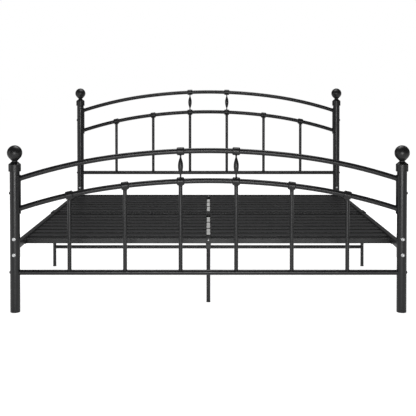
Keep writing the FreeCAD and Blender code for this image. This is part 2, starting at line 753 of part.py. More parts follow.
rail_bolts = [(side, end, z) for side, end in corners for z in rail_bolt_heights()]
save("rail_bolts", *[make_rail_bolt(*where) for where in rail_bolts])
rail_nuts = [make_rail_nut(*where) for where in rail_bolts]
save("nuts", *(rail_nuts + [make_centre_nut(end) for end in ends]))
saddle_bolts = [make_panel_bolt(side, end, arch_bolt_z, weld_gap + saddle_t) for side, end in corners]
plug_bolts = [make_panel_bolt(side, end, bottom_rail_z, plug_length) for side, end in corners]
save("panel_bolts", *(saddle_bolts + plug_bolts))
flange_bolts = []
for place, bar_y in bar_places().items():
    for step in (-flange_bolt_pitch / 2, flange_bolt_pitch / 2):
        flange_bolts += [make_flange_bolt(side, place, bar_y + step) for side in sides]
save("cross_bar_bolts", *(flange_bolts + [make_centre_bolt(end) for end in ends]))
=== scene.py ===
import math

import bmesh
import bpy
from bpy.props import FloatProperty, FloatVectorProperty, PointerProperty
from mathutils import Matrix, Vector


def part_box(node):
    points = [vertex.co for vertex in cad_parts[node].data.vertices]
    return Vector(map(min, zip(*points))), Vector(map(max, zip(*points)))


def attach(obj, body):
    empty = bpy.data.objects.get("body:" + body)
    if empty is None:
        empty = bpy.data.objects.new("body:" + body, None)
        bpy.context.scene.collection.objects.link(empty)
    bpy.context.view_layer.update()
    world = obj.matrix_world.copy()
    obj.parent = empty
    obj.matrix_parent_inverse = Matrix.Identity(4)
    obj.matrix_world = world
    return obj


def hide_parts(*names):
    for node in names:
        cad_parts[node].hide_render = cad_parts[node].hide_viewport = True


bl_info = {
    "name": "Metal bed frame",
    "version": (1, 0, 0),
    "blender": (4, 5, 0),
    "location": "3D View > Sidebar > Bed",
    "description": "Builds a black powder-coated bed frame with arched panels around its CAD frame",
    "category": "Add Mesh",
}

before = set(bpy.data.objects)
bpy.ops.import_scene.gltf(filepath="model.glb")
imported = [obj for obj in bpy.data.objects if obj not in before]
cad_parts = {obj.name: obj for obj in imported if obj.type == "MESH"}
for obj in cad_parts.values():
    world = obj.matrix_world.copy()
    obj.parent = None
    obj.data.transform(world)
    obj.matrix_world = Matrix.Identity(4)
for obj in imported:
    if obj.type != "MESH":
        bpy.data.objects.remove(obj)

X = Vector((1, 0, 0))
Y = Vector((0, 1, 0))
Z = Vector((0, 0, 1))
SIDES = {"left": -1, "right": 1}
ENDS = {"foot": -1, "head": 1}
ROUND = 48                  # segments round a tube
SMALL_ROUND = 32            # segments round a bolt or a leg
MERGE = 1e-6                # vertices nearer than this are one
CRISP = math.radians(32)    # edges that turn more than this stay sharp


# --- places from the frame -------------------------------------------------------------

def low_of(node):
    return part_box(node)[0]


def high_of(node):
    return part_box(node)[1]


def middle_of(node):
    low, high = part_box(node)
    return (low + high) / 2


def extent_of(node):
    low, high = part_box(node)
    return high - low


def post_node(side, end):
    return f"{end}_{side}_post"


def post_at(side, end, z=0.0):
    """Point on a post's centre line."""
    middle = middle_of(post_node(side, end))
    return Vector((middle.x, middle.y, z))


def corners():
    return [(side, end) for end in ENDS for side in SIDES]


POST_R = extent_of("foot_left_post").x / 2
HALF_X = post_at("right", "foot").x
HALF_Y = post_at("left", "head").y
HEAD_RAISE = high_of("head_left_post").z - high_of("foot_left_post").z
TUBE_R = extent_of("foot_bottom_rail").z / 2
BALUSTER_R = extent_of("foot_baluster_1").x / 2
BALUSTERS = [middle_of(f"foot_baluster_{number}").x for number in range(1, 7)]
SPINDLES = BALUSTERS[2:4]
RAIL_W = extent_of("left_rail_foot_half").x
RAIL_TOP = high_of("left_rail_foot_half").z
RAIL_BOTTOM = low_of("left_rail_foot_half").z
DECK_TOP = high_of("foot_left_slats").z
BAR_Y = {place: middle_of(f"{place}_cross_bar").y for place in ("foot", "middle", "head")}
BAR_W = 0.025               # width of a cross bar
SLATS = 7                   # in each quarter of the deck
CENTRE_BRACKET_T = 0.003    # plate that the centre beam's brackets are folded from
EDGE_ROUND = 0.0004         # rounding of the edges of flat plates
CLOSE_FIT = 0.0002          # round a plastic foot in its post, and round a tube in its knuckle
SEAM_PITCH = 0.0035         # between the ripples of a weld seam
RAIL_BOLT_RISE = 0.0375     # from the middle of a rail bracket to each of its bolts
FLANGE_BOLT_STEP = 0.02     # from a cross bar's middle to each bolt in its flange
BEAM_BOLT_RISE = 0.016      # of the bolts at the centre beam's ends, above the rails' underside
NUT_REACH = 0.0085          # of a rail bolt's shank past its bracket, through the nut

# Bolts as (shank diameter, head diameter, head height, socket across its flats, socket depth), in metres.
RAIL_BOLT = (0.008, 0.018, 0.0035, 0.005, 0.0025)
PANEL_BOLT = (0.008, 0.013, 0.0035, 0.005, 0.0025)
SMALL_BOLT = (0.006, 0.009, 0.003, 0.004, 0.0018)

# Nuts as (height, width across the flats, bore diameter), in metres.
POST_NUT = (0.0065, 0.013, 0.0083)
BEAM_NUT = (0.005, 0.010, 0.0063)

# Soft boxes as (name, place, the point it looks at, width and height in metres, watts).
SOFT_BOXES = (
    ("front_soft_box", (0, -5.6, 0.7), (0, 0, 0.7), 2.7, 1.0, 80),
    ("left_soft_box", (-6.0, -2.5, 1.6), (0, 0, 0.5), 1.2, 2.6, 30),
    ("top_soft_box", (0, 1.0, 5.0), (0, 0, 0.3), 3.2, 2.0, 110),
)


def raised(end):
    """How much higher than in the foot panel the pieces of this end are."""
    return HEAD_RAISE if end == "head" else 0.0


# --- sizes and colours that a user would change ----------------------------------------

def linear(code):
    """Linear colour from an sRGB hex code."""
    channels = []
    for start in (0, 2, 4):
        value = int(code[start:start + 2], 16) / 255
        channels.append(value / 12.92 if value <= 0.04045 else ((value + 0.055) / 1.055) ** 2.4)
    return (*channels, 1.0)


def length(name, description, default):
    return FloatProperty(name=name, description=description, default=default, unit="LENGTH", precision=4)


def factor(name, description, default):
    return FloatProperty(name=name, description=description, default=default, subtype="FACTOR")


def angle(name, description, degrees):
    return FloatProperty(name=name, description=description, default=math.radians(degrees), unit="ROTATION")


def colour(name, description, code):
    return FloatVectorProperty(name=name, description=description, default=linear(code), size=4,
                               subtype="COLOR", min=0.0, max=1.0)


class BedSizes(bpy.types.PropertyGroup):
    """Sizes of the panels, castings and fasteners, in metres."""
    arch_rise: length("Arch rise", "From the ends of an arch up to its middle", 0.130)
    arch_spacing: length("Arch spacing", "From the lower arch up to the upper one", 0.142)
    arch_flatness: factor("Arch flatness", "Radius of an arch's middle, over that of one plain arc", 1.08)
    arch_mid_share: factor("Arch middle", "Share of the half span before the tighter arc at each end", 0.5)
    tube_wall: length("Panel tube wall", "Wall of the arches and bottom rails", 0.0012)
    post_wall: length("Post wall", "Wall of the four posts", 0.0015)
    baluster_wall: length("Baluster wall", "Wall of the upright tubes of a panel", 0.001)
    saddle_t: length("Saddle plate", "Thickness of the curved plate at the ends of the arches", 0.005)
    saddle_wrap: angle("Saddle wrap", "How far the saddle plate wraps round the post, each way", 54)
    plate_gap: length("Plate gap", "Between a post and the plate curved round it", 0.00015)
    bracket_t: length("Rail bracket", "Thickness of the curved bracket on a rail's end", 0.004)
    bracket_wrap: angle("Bracket wrap", "How far the rail bracket wraps round the post, each way", 50)
    plate_corner: length("Plate corner", "Corner radius of the curved plates", 0.006)
    collar_d: length("Finial collar", "Diameter of the collar over the post", 0.0585)
    collar_h: length("Collar height", "Height of the finial's collar", 0.034)
    socket_gap: length("Socket gap", "Between a post and the finial's collar over it", 0.0002)
    neck_d: length("Finial neck", "Narrowest diameter of the finial", 0.027)
    ball_taper: angle("Ball taper", "Where the ball runs into its cone, below its middle", 43)
    knuckle_d: length("Knuckle", "Diameter of the cast knuckles", 0.0375)
    knuckle_l: length("Knuckle length", "Length of a knuckle along its arch", 0.036)
    knuckle_chamfer: length("Knuckle chamfer", "Chamfer on the knuckle's ends", 0.0035)
    knuckle_neck_d: length("Knuckle neck", "Diameter where the neck leaves the knuckle", 0.024)
    boss_d: length("Spindle boss", "Diameter of the boss that a spindle stands on", 0.0125)
    boss_h: length("Boss height", "Height of the boss", 0.002)
    spindle_d: length("Spindle middle", "Diameter of the spindle at its middle", 0.025)
    spindle_end_d: length("Spindle end", "Diameter of the spindle at its ends", 0.008)
    spindle_stem: length("Spindle stem", "Straight stretch at each end of the spindle", 0.009)
    rail_wall: length("Rail wall", "Wall of the side rails and cross bars", 0.0015)
    slat_wall: length("Slat wall", "Sheet that the slats are rolled from", 0.0008)
    slat_w: length("Slat width", "Width of a slat", 0.064)
    tongue_w: length("Tongue width", "Width of the slat's tongue in the rail", 0.040)
    tongue_l: length("Tongue length", "Length of the slat's tongue", 0.008)
    slot_gap: length("Slot gap", "Room round the tongue in its slot", 0.0003)
    flange_t: length("Flange", "Thickness of the flange on a cross bar's end", 0.003)
    sleeve_t: length("Rail sleeve", "Thickness of the box sleeve round a rail's middle joint", 0.003)
    leg_wall: length("Leg wall", "Wall of the legs and of the stretchers between them", 0.0012)
    bead: length("Weld bead", "Radius of the weld beads", 0.0016)


class BedColours(bpy.types.PropertyGroup):
    """Colours of the finishes."""
    powder: colour("Powder coat", "Satin black powder coat on the tubes", "131315")
    # Painted light: the slat coat is drawn lighter than the tubes' powder, to stand in for the light that
    # falls on the deck's top.
    sheet: colour("Slat coat", "Satin black powder coat on the slats", "1a1a1c")
    casting: colour("Casting enamel", "Black enamel on the knuckles and spindles", "111113")
    finial: colour("Finial plastic", "Moulded black ABS of the finials", "101011")
    foot: colour("Foot plastic", "Moulded black polyethylene feet", "111111")
    zinc: colour("Zinc plate", "Bright zinc plate on bolts and nuts", "c9cacb")
    bolt_black: colour("Black bolts", "Black zinc plate on the panel and flange bolts", "1a1a1b")
    strip: colour("Noise strip", "White PVC of the noise strips", "f2f2f0")


# --- materials -------------------------------------------------------------------------

def node(tree, kind, inputs=None, **settings):
    """Add a shader node. An input is a value or another node's output."""
    made = tree.nodes.new(kind)
    for key, value in settings.items():
        setattr(made, key, value)
    for key, value in (inputs or {}).items():
        if isinstance(value, bpy.types.NodeSocket):
            tree.links.new(value, made.inputs[key])
        else:
            made.inputs[key].default_value = value
    return made


def new_material(name):
    """A fresh material with its node tree emptied, its principled shader and its object coordinates."""
    material = bpy.data.materials.new(name)
    material.use_nodes = True
    tree = material.node_tree
    tree.nodes.clear()
    shader = node(tree, "ShaderNodeBsdfPrincipled")
    node(tree, "ShaderNodeOutputMaterial", {"Surface": shader.outputs["BSDF"]})
    place = node(tree, "ShaderNodeTexCoord").outputs["Object"]
    return material, tree, shader, place


def shade_of(colour, factor):
    return (*(min(channel * factor, 1.0) for channel in colour[:3]), 1.0)


def grain(tree, place, size, detail=2.0):
    """Noise with features of that real size, in metres."""
    noise = node(tree, "ShaderNodeTexNoise", {"Vector": place, "Scale": 1 / size, "Detail": detail})
    return noise.outputs["Fac"]


def spread(tree, value, low, high):
    """Map a noise value's usual range onto low to high."""
    return node(tree, "ShaderNodeMapRange", {"Value": value, "From Min": 0.3, "From Max": 0.7,
                                             "To Min": low, "To Max": high}).outputs["Result"]


def two_tone(tree, value, colour, low, high):
    """Colour that drifts between two shades of itself."""
    ramp = node(tree, "ShaderNodeValToRGB", {"Fac": value})
    for stop, factor in zip(ramp.color_ramp.elements, (low, high)):
        stop.color = shade_of(colour, factor)
    return ramp.outputs["Color"]


def link(tree, output, shader, name):
    tree.links.new(output, shader.inputs[name])


def powder_coat(name, colour, roughness, peel, height):
    """Baked polyester powder: satin, with a fine orange peel that breaks up its highlights a little."""
    material, tree, shader, place = new_material(name)
    drift = grain(tree, place, 0.12, detail=3.0)
    link(tree, two_tone(tree, drift, colour, 0.82, 1.18), shader, "Base Color")
    wear = grain(tree, place, 0.035)
    link(tree, spread(tree, wear, roughness - 0.04, roughness + 0.05), shader, "Roughness")
    # Real orange peel is about 1 mm across. It is drawn about twice as coarse, to show from close by.
    skin = grain(tree, place, peel, detail=1.5)
    bump = node(tree, "ShaderNodeBump", {"Height": skin, "Strength": 0.35, "Distance": height})
    link(tree, bump.outputs["Normal"], shader, "Normal")
    shader.inputs["IOR"].default_value = 1.5
    return material


def cast_enamel(name, colour):
    """Enamel over a die casting: slightly glossier than the powder, over a skin with soft casting ripples."""
    material, tree, shader, place = new_material(name)
    link(tree, two_tone(tree, grain(tree, place, 0.02), colour, 0.8, 1.2), shader, "Base Color")
    link(tree, spread(tree, grain(tree, place, 0.008), 0.3, 0.4), shader, "Roughness")
    skin = grain(tree, place, 0.004, detail=4.0)
    bump = node(tree, "ShaderNodeBump", {"Height": skin, "Strength": 0.3, "Distance": 0.0004})
    link(tree, bump.outputs["Normal"], shader, "Normal")
    shader.inputs["IOR"].default_value = 1.52
    return material


def moulded_plastic(name, colour, roughness, texture, height):
    """Injection-moulded plastic: even colour and a fine spark-eroded texture from the mould."""
    material, tree, shader, place = new_material(name)
    link(tree, two_tone(tree, grain(tree, place, 0.03), colour, 0.88, 1.12), shader, "Base Color")
    wear = grain(tree, place, 0.012)
    link(tree, spread(tree, wear, roughness - 0.03, roughness + 0.04), shader, "Roughness")
    skin = grain(tree, place, texture, detail=3.0)
    bump = node(tree, "ShaderNodeBump", {"Height": skin, "Strength": 0.25, "Distance": height})
    link(tree, bump.outputs["Normal"], shader, "Normal")
    shader.inputs["IOR"].default_value = 1.5
    return material


def plated_steel(name, colour, roughness):
    """Electroplated zinc: a bright metal, cloudy from its passivation, with faint tool marks."""
    material, tree, shader, place = new_material(name)
    link(tree, two_tone(tree, grain(tree, place, 0.006, detail=4.0), colour, 0.8, 1.1), shader, "Base Color")
    link(tree, spread(tree, grain(tree, place, 0.003, detail=3.0), roughness - 0.08, roughness + 0.1),
         shader, "Roughness")
    marks = grain(tree, place, 0.0012, detail=2.0)
    bump = node(tree, "ShaderNodeBump", {"Height": marks, "Strength": 0.2, "Distance": 0.0001})
    link(tree, bump.outputs["Normal"], shader, "Normal")
    shader.inputs["Metallic"].default_value = 1.0
    return material


def extruded_strip(name, colour):
    """Extruded PVC: matte and white, ribbed along its length by the die and a little dusty."""
    material, tree, shader, place = new_material(name)
    dust = grain(tree, place, 0.015, detail=4.0)
    link(tree, two_tone(tree, dust, colour, 0.86, 1.04), shader, "Base Color")
    shader.inputs["Roughness"].default_value = 0.6
    # Ribs run along the bed, 3 mm apart across the strip.
    across = node(tree, "ShaderNodeMapping", {"Vector": place, "Scale": (1 / 0.003, 0.0, 0.0)})
    ribs = node(tree, "ShaderNodeTexWave", {"Vector": across.outputs["Vector"], "Scale": 0.3})
    bump = node(tree, "ShaderNodeBump", {"Height": ribs.outputs["Fac"], "Strength": 0.5, "Distance": 0.0003})
    link(tree, bump.outputs["Normal"], shader, "Normal")
    return material


def finish_of(slot):
    """The material for one of the record's slots, made once."""
    name, make = FINISHES[slot]
    found = bpy.data.materials.get(name)
    return found or make(name, bpy.context.scene.bed_colours)


FINISHES = {
    "frame_black": ("satin_black_powder_coat",
                    lambda name, c: powder_coat(name, c.powder, 0.3, 0.0018, 0.00008)),
    # Painted light: this coat's lighter colour stands in for the light on the deck's top, not for a paler
    # paint.
    "slat_black": ("satin_black_slat_coat_with_painted_light",
                   lambda name, c: powder_coat(name, c.sheet, 0.42, 0.0022, 0.00008)),
    "casting_black": ("black_enamelled_casting", lambda name, c: cast_enamel(name, c.casting)),
    "finial_black": ("moulded_black_abs",
                     lambda name, c: moulded_plastic(name, c.finial, 0.38, 0.0015, 0.0001)),
    "foot_plastic": ("moulded_black_polyethylene",
                     lambda name, c: moulded_plastic(name, c.foot, 0.5, 0.001, 0.0002)),
    "zinc_fastener": ("bright_zinc_plate", lambda name, c: plated_steel(name, c.zinc, 0.32)),
    "black_fastener": ("black_zinc_plate", lambda name, c: plated_steel(name, c.bolt_black, 0.4)),
    "noise_plastic": ("pale_extruded_pvc", lambda name, c: extruded_strip(name, c.strip)),
}


# --- mesh helpers ----------------------------------------------------------------------

def verts_in(geometry):
    """The vertices among what an operator returns."""
    return [item for item in geometry if isinstance(item, bmesh.types.BMVert)]


def loop_edges(verts):
    """Edges that run between these vertices."""
    chosen = set(verts)
    return list({edge for vert in verts for edge in vert.link_edges if set(edge.verts) <= chosen})


def facing(axis):
    """Rotation that turns +Z to the axis."""
    return Vector(axis).to_track_quat("Z", "Y").to_matrix().to_4x4()


def side_of(axis):
    """Direction square to the axis, from which turns round it are counted."""
    return (facing(axis) @ Vector((1, 0, 0, 0))).to_3d()


def turned(axis):
    """Direction a quarter turn on from the side of the axis."""
    return axis.cross(side_of(axis))


def ring(bm, centre, axis, radius, segments=ROUND):
    """Circle of vertices round the axis."""
    place = Matrix.Translation(centre) @ facing(axis)
    made = bmesh.ops.create_circle(bm, cap_ends=False, segments=segments, radius=radius, matrix=place)
    return made["verts"]


def extrude_ring(bm, verts, shift):
    """Grow a ring of vertices by one more ring, moved by the shift. Returns the new ring."""
    made = bmesh.ops.extrude_edge_only(bm, edges=loop_edges(verts))
    ends = verts_in(made["geom"])
    bmesh.ops.translate(bm, verts=ends, vec=shift)
    return ends


def straight_tube(bm, start, end, radius, segments=ROUND):
    """Surface of a straight tube. Returns the vertices of its two ends."""
    first = ring(bm, start, end - start, radius, segments)
    return first, extrude_ring(bm, first, end - start)


def reach_to(point, along, centre, axis, radius):
    """Distance along a line from the point to the nearer side of a round bar."""
    offset = point - centre
    offset -= axis * offset.dot(axis)
    way = along - axis * along.dot(axis)
    a = way.dot(way)
    b = offset.dot(way)
    c = offset.dot(offset) - radius * radius
    root = math.sqrt(max(b * b - a * c, 0.0))
    return min(((-b - root) / a, (-b + root) / a), key=abs)


def cope(verts, along, centre, axis, radius):
    """Shape a tube's end to the round bar that it meets."""
    for vert in verts:
        vert.co += along * reach_to(vert.co, along, centre, axis, radius)


def lathe(bm, outline, centre, axis=Z, steps=ROUND, closed=False):
    """Turn an outline of (radius, height) points round the axis. Returns its vertices."""
    before = set(bm.verts)
    side = side_of(axis)
    points = [bm.verts.new(centre + side * radius + axis * height) for radius, height in outline]
    edges = [bm.edges.new(pair) for pair in zip(points, points[1:])]
    if closed:
        edges.append(bm.edges.new((points[-1], points[0])))
    bmesh.ops.spin(bm, geom=points + edges, cent=centre, axis=axis, angle=2 * math.pi, steps=steps,
                   use_merge=True)
    made = [vert for vert in bm.verts if vert not in before]
    bmesh.ops.remove_doubles(bm, verts=made, dist=MERGE)
    return [vert for vert in bm.verts if vert not in before]


def arc(centre, radius, start, stop, count):
    """(radius, height) points on an arc, from start to stop in degrees, both included."""
    points = []
    for step in range(count + 1):
        turn = math.radians(start + (stop - start) * step / count)
        points.append((centre[0] + radius * math.cos(turn), centre[1] + radius * math.sin(turn)))
    return points


def bead_outline(tube_r, bead):
    """Round outline of a bead on a tube's surface, left open because a lathe closes it."""
    return [(tube_r + x, y) for x, y in arc((0, 0), bead, 0, 360, 8)][:-1]


def weld_bead(bm, centre, along, tube_r, joint, bead, steps=64, ripples=16):
    """Bead round a tube's end, where it meets a round bar given as (centre, axis, radius)."""
    outline = bead_outline(tube_r, bead)
    side = side_of(along)
    on = turned(along)
    for vert in lathe(bm, outline, centre, along, steps, closed=True):
        height = (vert.co - centre).dot(along)
        out = vert.co - centre - along * height
        rim = centre + out.normalized() * tube_r
        away = vert.co - rim
        turn = math.atan2(out.dot(on), out.dot(side))
        vert.co = rim + away * (1 + 0.14 * math.sin(ripples * turn)) + along * reach_to(rim, along, *joint)


def bar(bm, low, high, axis, corner, open_ends=False, segments=4):
    """Straight bar from corner to corner with its four long edges rounded. Returns its vertices."""
    before = set(bm.verts)
    size = high - low
    place = Matrix.Translation((low + high) / 2) @ Matrix.Diagonal((*size, 1))
    verts = bmesh.ops.create_cube(bm, size=1.0, matrix=place)["verts"]
    if open_ends:
        faces = {face for vert in verts for face in vert.link_faces}
        ends = [face for face in faces if abs(face.normal.dot(axis)) > 0.9]
        bmesh.ops.delete(bm, geom=ends, context="FACES_ONLY")
    long_edges = [edge for edge in loop_edges(verts)
                  if abs((edge.verts[0].co - edge.verts[1].co).normalized().dot(axis)) > 0.9]
    round_edges(bm, long_edges, corner, segments)
    return [vert for vert in bm.verts if vert not in before]


def cut_through(bm, point, normal, **settings):
    """Cut the whole mesh along a plane."""
    bmesh.ops.bisect_plane(bm, geom=[*bm.verts, *bm.edges, *bm.faces], plane_co=point, plane_no=normal,
                           **settings)


def round_edges(bm, edges, radius, segments):
    bmesh.ops.bevel(bm, geom=edges, offset=radius, offset_type="OFFSET", segments=segments, profile=0.5,
                    affect="EDGES", material=-1, clamp_overlap=True)


def sharp_edges(bm, limit=math.radians(50)):
    """Edges where two faces turn by more than the limit."""
    return [edge for edge in bm.edges if len(edge.link_faces) == 2 and edge.calc_face_angle() > limit]


def join(bm, part):
    """Move the finished part's mesh into bm."""
    mesh = bpy.data.meshes.new("part")
    part.to_mesh(mesh)
    part.free()
    bm.from_mesh(mesh)
    bpy.data.meshes.remove(mesh)


def plate(bm, low, high, corner, through):
    """Flat plate with round corners, seen along the direction through it, and softened edges."""
    part = bmesh.new()
    bar(part, low, high, through, corner)
    round_edges(part, sharp_edges(part), EDGE_ROUND, 2)
    join(bm, part)


def piece(name, bm, slot, nodes, wall=0.0, soft=0.0):
    """Finish a mesh as an object that rides on the frame and stands for its CAD nodes."""
    bmesh.ops.recalc_face_normals(bm, faces=bm.faces)
    mesh = bpy.data.meshes.new(name)
    bm.to_mesh(mesh)
    bm.free()
    mesh.shade_smooth()
    mesh.set_sharp_from_angle(angle=CRISP)
    made = bpy.data.objects.new(name, mesh)
    bpy.context.scene.collection.objects.link(made)
    if wall:
        shell = made.modifiers.new("wall", "SOLIDIFY")
        shell.thickness = wall
        shell.offset = -1
        shell.use_even_offset = True
    if soft:
        rounding = made.modifiers.new("soft_edges", "BEVEL")
        rounding.width = soft
        rounding.segments = 2
        rounding.limit_method = "ANGLE"
        rounding.angle_limit = math.radians(50)
    # Flat faces keep their own direction, so that the rounding of their edges doesn't shade across them.
    flats = made.modifiers.new("flat_faces", "WEIGHTED_NORMAL")
    flats.keep_sharp = True
    mesh.materials.append(finish_of(slot))
    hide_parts(*nodes)
    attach(made, "root")
    return made


def shown(node):
    """Name of the finished piece that stands for a CAD node."""
    return f"finished_{node}"


def stand_in(node, bm, slot, wall=0.0, soft=0.0):
    return piece(shown(node), bm, slot, [node], wall, soft)


# --- posts and finials -----------------------------------------------------------------

class BED_OT_posts(bpy.types.Operator):
    """Four round posts and the plastic feet in their lower ends."""
    bl_idname = "bed.posts"
    bl_label = "Posts and Feet"

    def execute(self, context):
        sizes = context.scene.bed_sizes
        for side, end in corners():
            node_name = post_node(side, end)
            low = low_of(node_name).z
            bm = bmesh.new()
            straight_tube(bm, post_at(side, end, low), post_at(side, end, high_of(node_name).z), POST_R, 64)
            stand_in(node_name, bm, "frame_black", wall=sizes.post_wall, soft=0.0004)
        bm = bmesh.new()
        cap_t = low_of(post_node("left", "foot")).z
        soft = 0.0015
        plug_r = POST_R - sizes.post_wall - CLOSE_FIT
        for side, end in corners():
            outline = [(0, 0), (POST_R - soft, 0), *arc((POST_R - soft, soft), soft, -90, 0, 4),
                       (POST_R, cap_t), (plug_r, cap_t), (plug_r, high_of("post_feet").z), (0, cap_t)]
            lathe(bm, outline, post_at(side, end), Z, 64)
        stand_in("post_feet", bm, "foot_plastic")
        return {"FINISHED"}


class BED_OT_finials(bpy.types.Operator):
    """Ball finials: a ball that tapers to a neck and flares again into the collar over the post."""
    bl_idname = "bed.finials"
    bl_label = "Finials"

    def execute(self, context):
        sizes = context.scene.bed_sizes
        for side, end in corners():
            node_name = f"{end}_{side}_finial"
            bm = bmesh.new()
            lathe(bm, self.outline(sizes, node_name), post_at(side, end, low_of(node_name).z), Z, 72)
            stand_in(node_name, bm, "finial_black")
        return {"FINISHED"}

    def outline(self, sizes, node_name):
        """Outline from inside the collar up to the top of the ball, above the collar's lower edge."""
        ball_r = extent_of(node_name).x / 2
        height = extent_of(node_name).z
        ball_z = height - ball_r
        collar_r = sizes.collar_d / 2
        neck_r = sizes.neck_d / 2
        taper = sizes.ball_taper
        soft = 0.0012
        leave = Vector((ball_r * math.cos(taper), ball_z - ball_r * math.sin(taper)))
        slope = Vector((-math.sin(taper), -math.cos(taper)))
        waist = leave + slope * ((leave.x - neck_r) / -slope.x)
        fillet = 0.003
        shoulder = sizes.collar_h
        socket = high_of("foot_left_post").z - low_of("foot_left_finial").z
        bore = POST_R + sizes.socket_gap
        points = [(0, socket), (bore, socket), (bore, 0.0005), (bore + 0.0006, 0)]
        points += arc((collar_r - soft, soft), soft, -90, 0, 4)
        points += arc((collar_r - soft, shoulder - soft), soft, 0, 50, 4)
        # The cone is slightly hollow between the collar's shoulder and the neck.
        top = points[-1]
        for step in range(1, 9):
            t = step / 9
            hollow = 0.0016 * math.sin(math.pi * t)
            points.append((top[0] + (neck_r - top[0]) * t - hollow,
                           top[1] + (waist.y - fillet - top[1]) * t + hollow))
        points += [(neck_r - 0.0002, waist.y - fillet), (neck_r - 0.0001, waist.y),
                   (neck_r + 0.0012, waist.y + 0.002)]
        points += [tuple(leave.lerp(waist, share)) for share in (0.7, 0.5, 0.3, 0.1)]
        points += arc((0, ball_z), ball_r, -math.degrees(taper), 90, 28)
        return points


# --- head and foot panels --------------------------------------------------------------

def arch_y(end):
    return ENDS[end] * HALF_Y


def arch_apex(end, level):
    """Height of the tube's centre at the middle of an arch."""
    return high_of(f"{end}_{level}_arch").z - TUBE_R


def arch_half_span(sizes):
    return HALF_X - POST_R - sizes.plate_gap - sizes.saddle_t


def arch_arcs(sizes):
    """Radius and turn of an arch's flatter middle, and the radius of its tighter ends and their last turn."""
    span = arch_half_span(sizes)
    middle_half = span * sizes.arch_mid_share
    middle_r = sizes.arch_flatness * (span ** 2 + sizes.arch_rise ** 2) / (2 * sizes.arch_rise)
    middle_turn = math.asin(middle_half / middle_r)
    left_over = sizes.arch_rise - middle_r * (1 - math.cos(middle_turn))
    end_turn = 2 * math.atan(left_over / (span - middle_half)) - middle_turn
    end_r = (span - middle_half) / (math.sin(end_turn) - math.sin(middle_turn))
    return middle_r, middle_turn, end_r, end_turn


def arch_centres(sizes, end, level, way):
    """Centres of the middle arc and of the end arc on the left or the right."""
    middle_r, middle_turn, end_r, end_turn = arch_arcs(sizes)
    middle = Vector((0, arch_y(end), arch_apex(end, level) - middle_r))
    out = X * way * math.sin(middle_turn) + Z * math.cos(middle_turn)
    return middle, middle + out * (middle_r - end_r)


def on_arch(sizes, end, level, x):
    """Point on an arch's centre line, and the direction of the arch there."""
    radius, middle_turn, end_r, end_turn = arch_arcs(sizes)
    centre, end_centre = arch_centres(sizes, end, level, math.copysign(1, x))
    if abs(x) > radius * math.sin(middle_turn):
        radius = end_r
        centre = end_centre
    turn = math.asin((x - centre.x) / radius)
    point = centre + X * radius * math.sin(turn) + Z * radius * math.cos(turn)
    return point, Vector((math.cos(turn), 0, -math.sin(turn)))


class BED_OT_arches(bpy.types.Operator):
    """Upper and lower arch of each panel, bent from one tube and welded to the saddle plates."""
    bl_idname = "bed.arches"
    bl_label = "Arches"

    def execute(self, context):
        sizes = context.scene.bed_sizes
        for end in ENDS:
            for level in ("upper", "lower"):
                bm = bmesh.new()
                first = ring(bm, Vector((0, arch_y(end), arch_apex(end, level))), X, TUBE_R)
                for side in SIDES:
                    self.bend(bm, sizes, end, level, side, first)
                stand_in(f"{end}_{level}_arch", bm, "frame_black", wall=sizes.tube_wall)
        return {"FINISHED"}

    def bend(self, bm, sizes, end, level, side, verts):
        """Bend one half of the arch from the ring in its middle and shape its end to the saddle plate."""
        way = SIDES[side]
        _, middle_turn, _, end_turn = arch_arcs(sizes)
        turns = (middle_turn, end_turn - middle_turn)
        for centre, turn in zip(arch_centres(sizes, end, level, way), turns):
            made = bmesh.ops.spin(bm, geom=verts + loop_edges(verts), cent=centre, axis=Y * way, angle=turn,
                                  steps=20, use_merge=False)
            verts = verts_in(made["geom_last"])
        along = on_arch(sizes, end, level, way * arch_half_span(sizes))[1]
        cope(verts, along, post_at(side, end), Z, HALF_X - arch_half_span(sizes))


def curved_plate(bm, centre, low, high, inner_r, thickness, middle, wrap, corner):
    """Plate curved round a post's centre line, with round corners, facing the middle direction."""
    part = bmesh.new()
    section = []
    outer_r = inner_r + thickness
    for radius, z in ((inner_r, low), (outer_r, low), (outer_r, high), (inner_r, high)):
        start = Matrix.Rotation(-wrap, 3, "Z") @ (middle * radius)
        section.append(part.verts.new(Vector((centre.x, centre.y, z)) + start))
    face = part.faces.new(section)
    bmesh.ops.spin(part, geom=[face, *face.edges, *face.verts], cent=centre, axis=Z, angle=2 * wrap,
                   steps=20, use_merge=False)
    bmesh.ops.recalc_face_normals(part, faces=part.faces)
    across = []
    for edge in part.edges:
        way = edge.verts[1].co - edge.verts[0].co
        out = (edge.verts[0].co - centre) * Vector((1, 1, 0))
        is_corner = abs(way.length - thickness) < thickness * 0.01 and len(edge.link_faces) == 2
        if is_corner and edge.calc_face_angle() > 1.0 and abs(way.normalized().dot(out.normalized())) > 0.99:
            across.append(edge)
    round_edges(part, across, corner, 4)
    round_edges(part, sharp_edges(part, math.radians(60)), 0.0007, 2)
    # Merges points that nearly meet at the rounded corners. A few tiny two-sided scraps stay there.
    bmesh.ops.remove_doubles(part, verts=part.verts, dist=0.00002)
    join(bm, part)


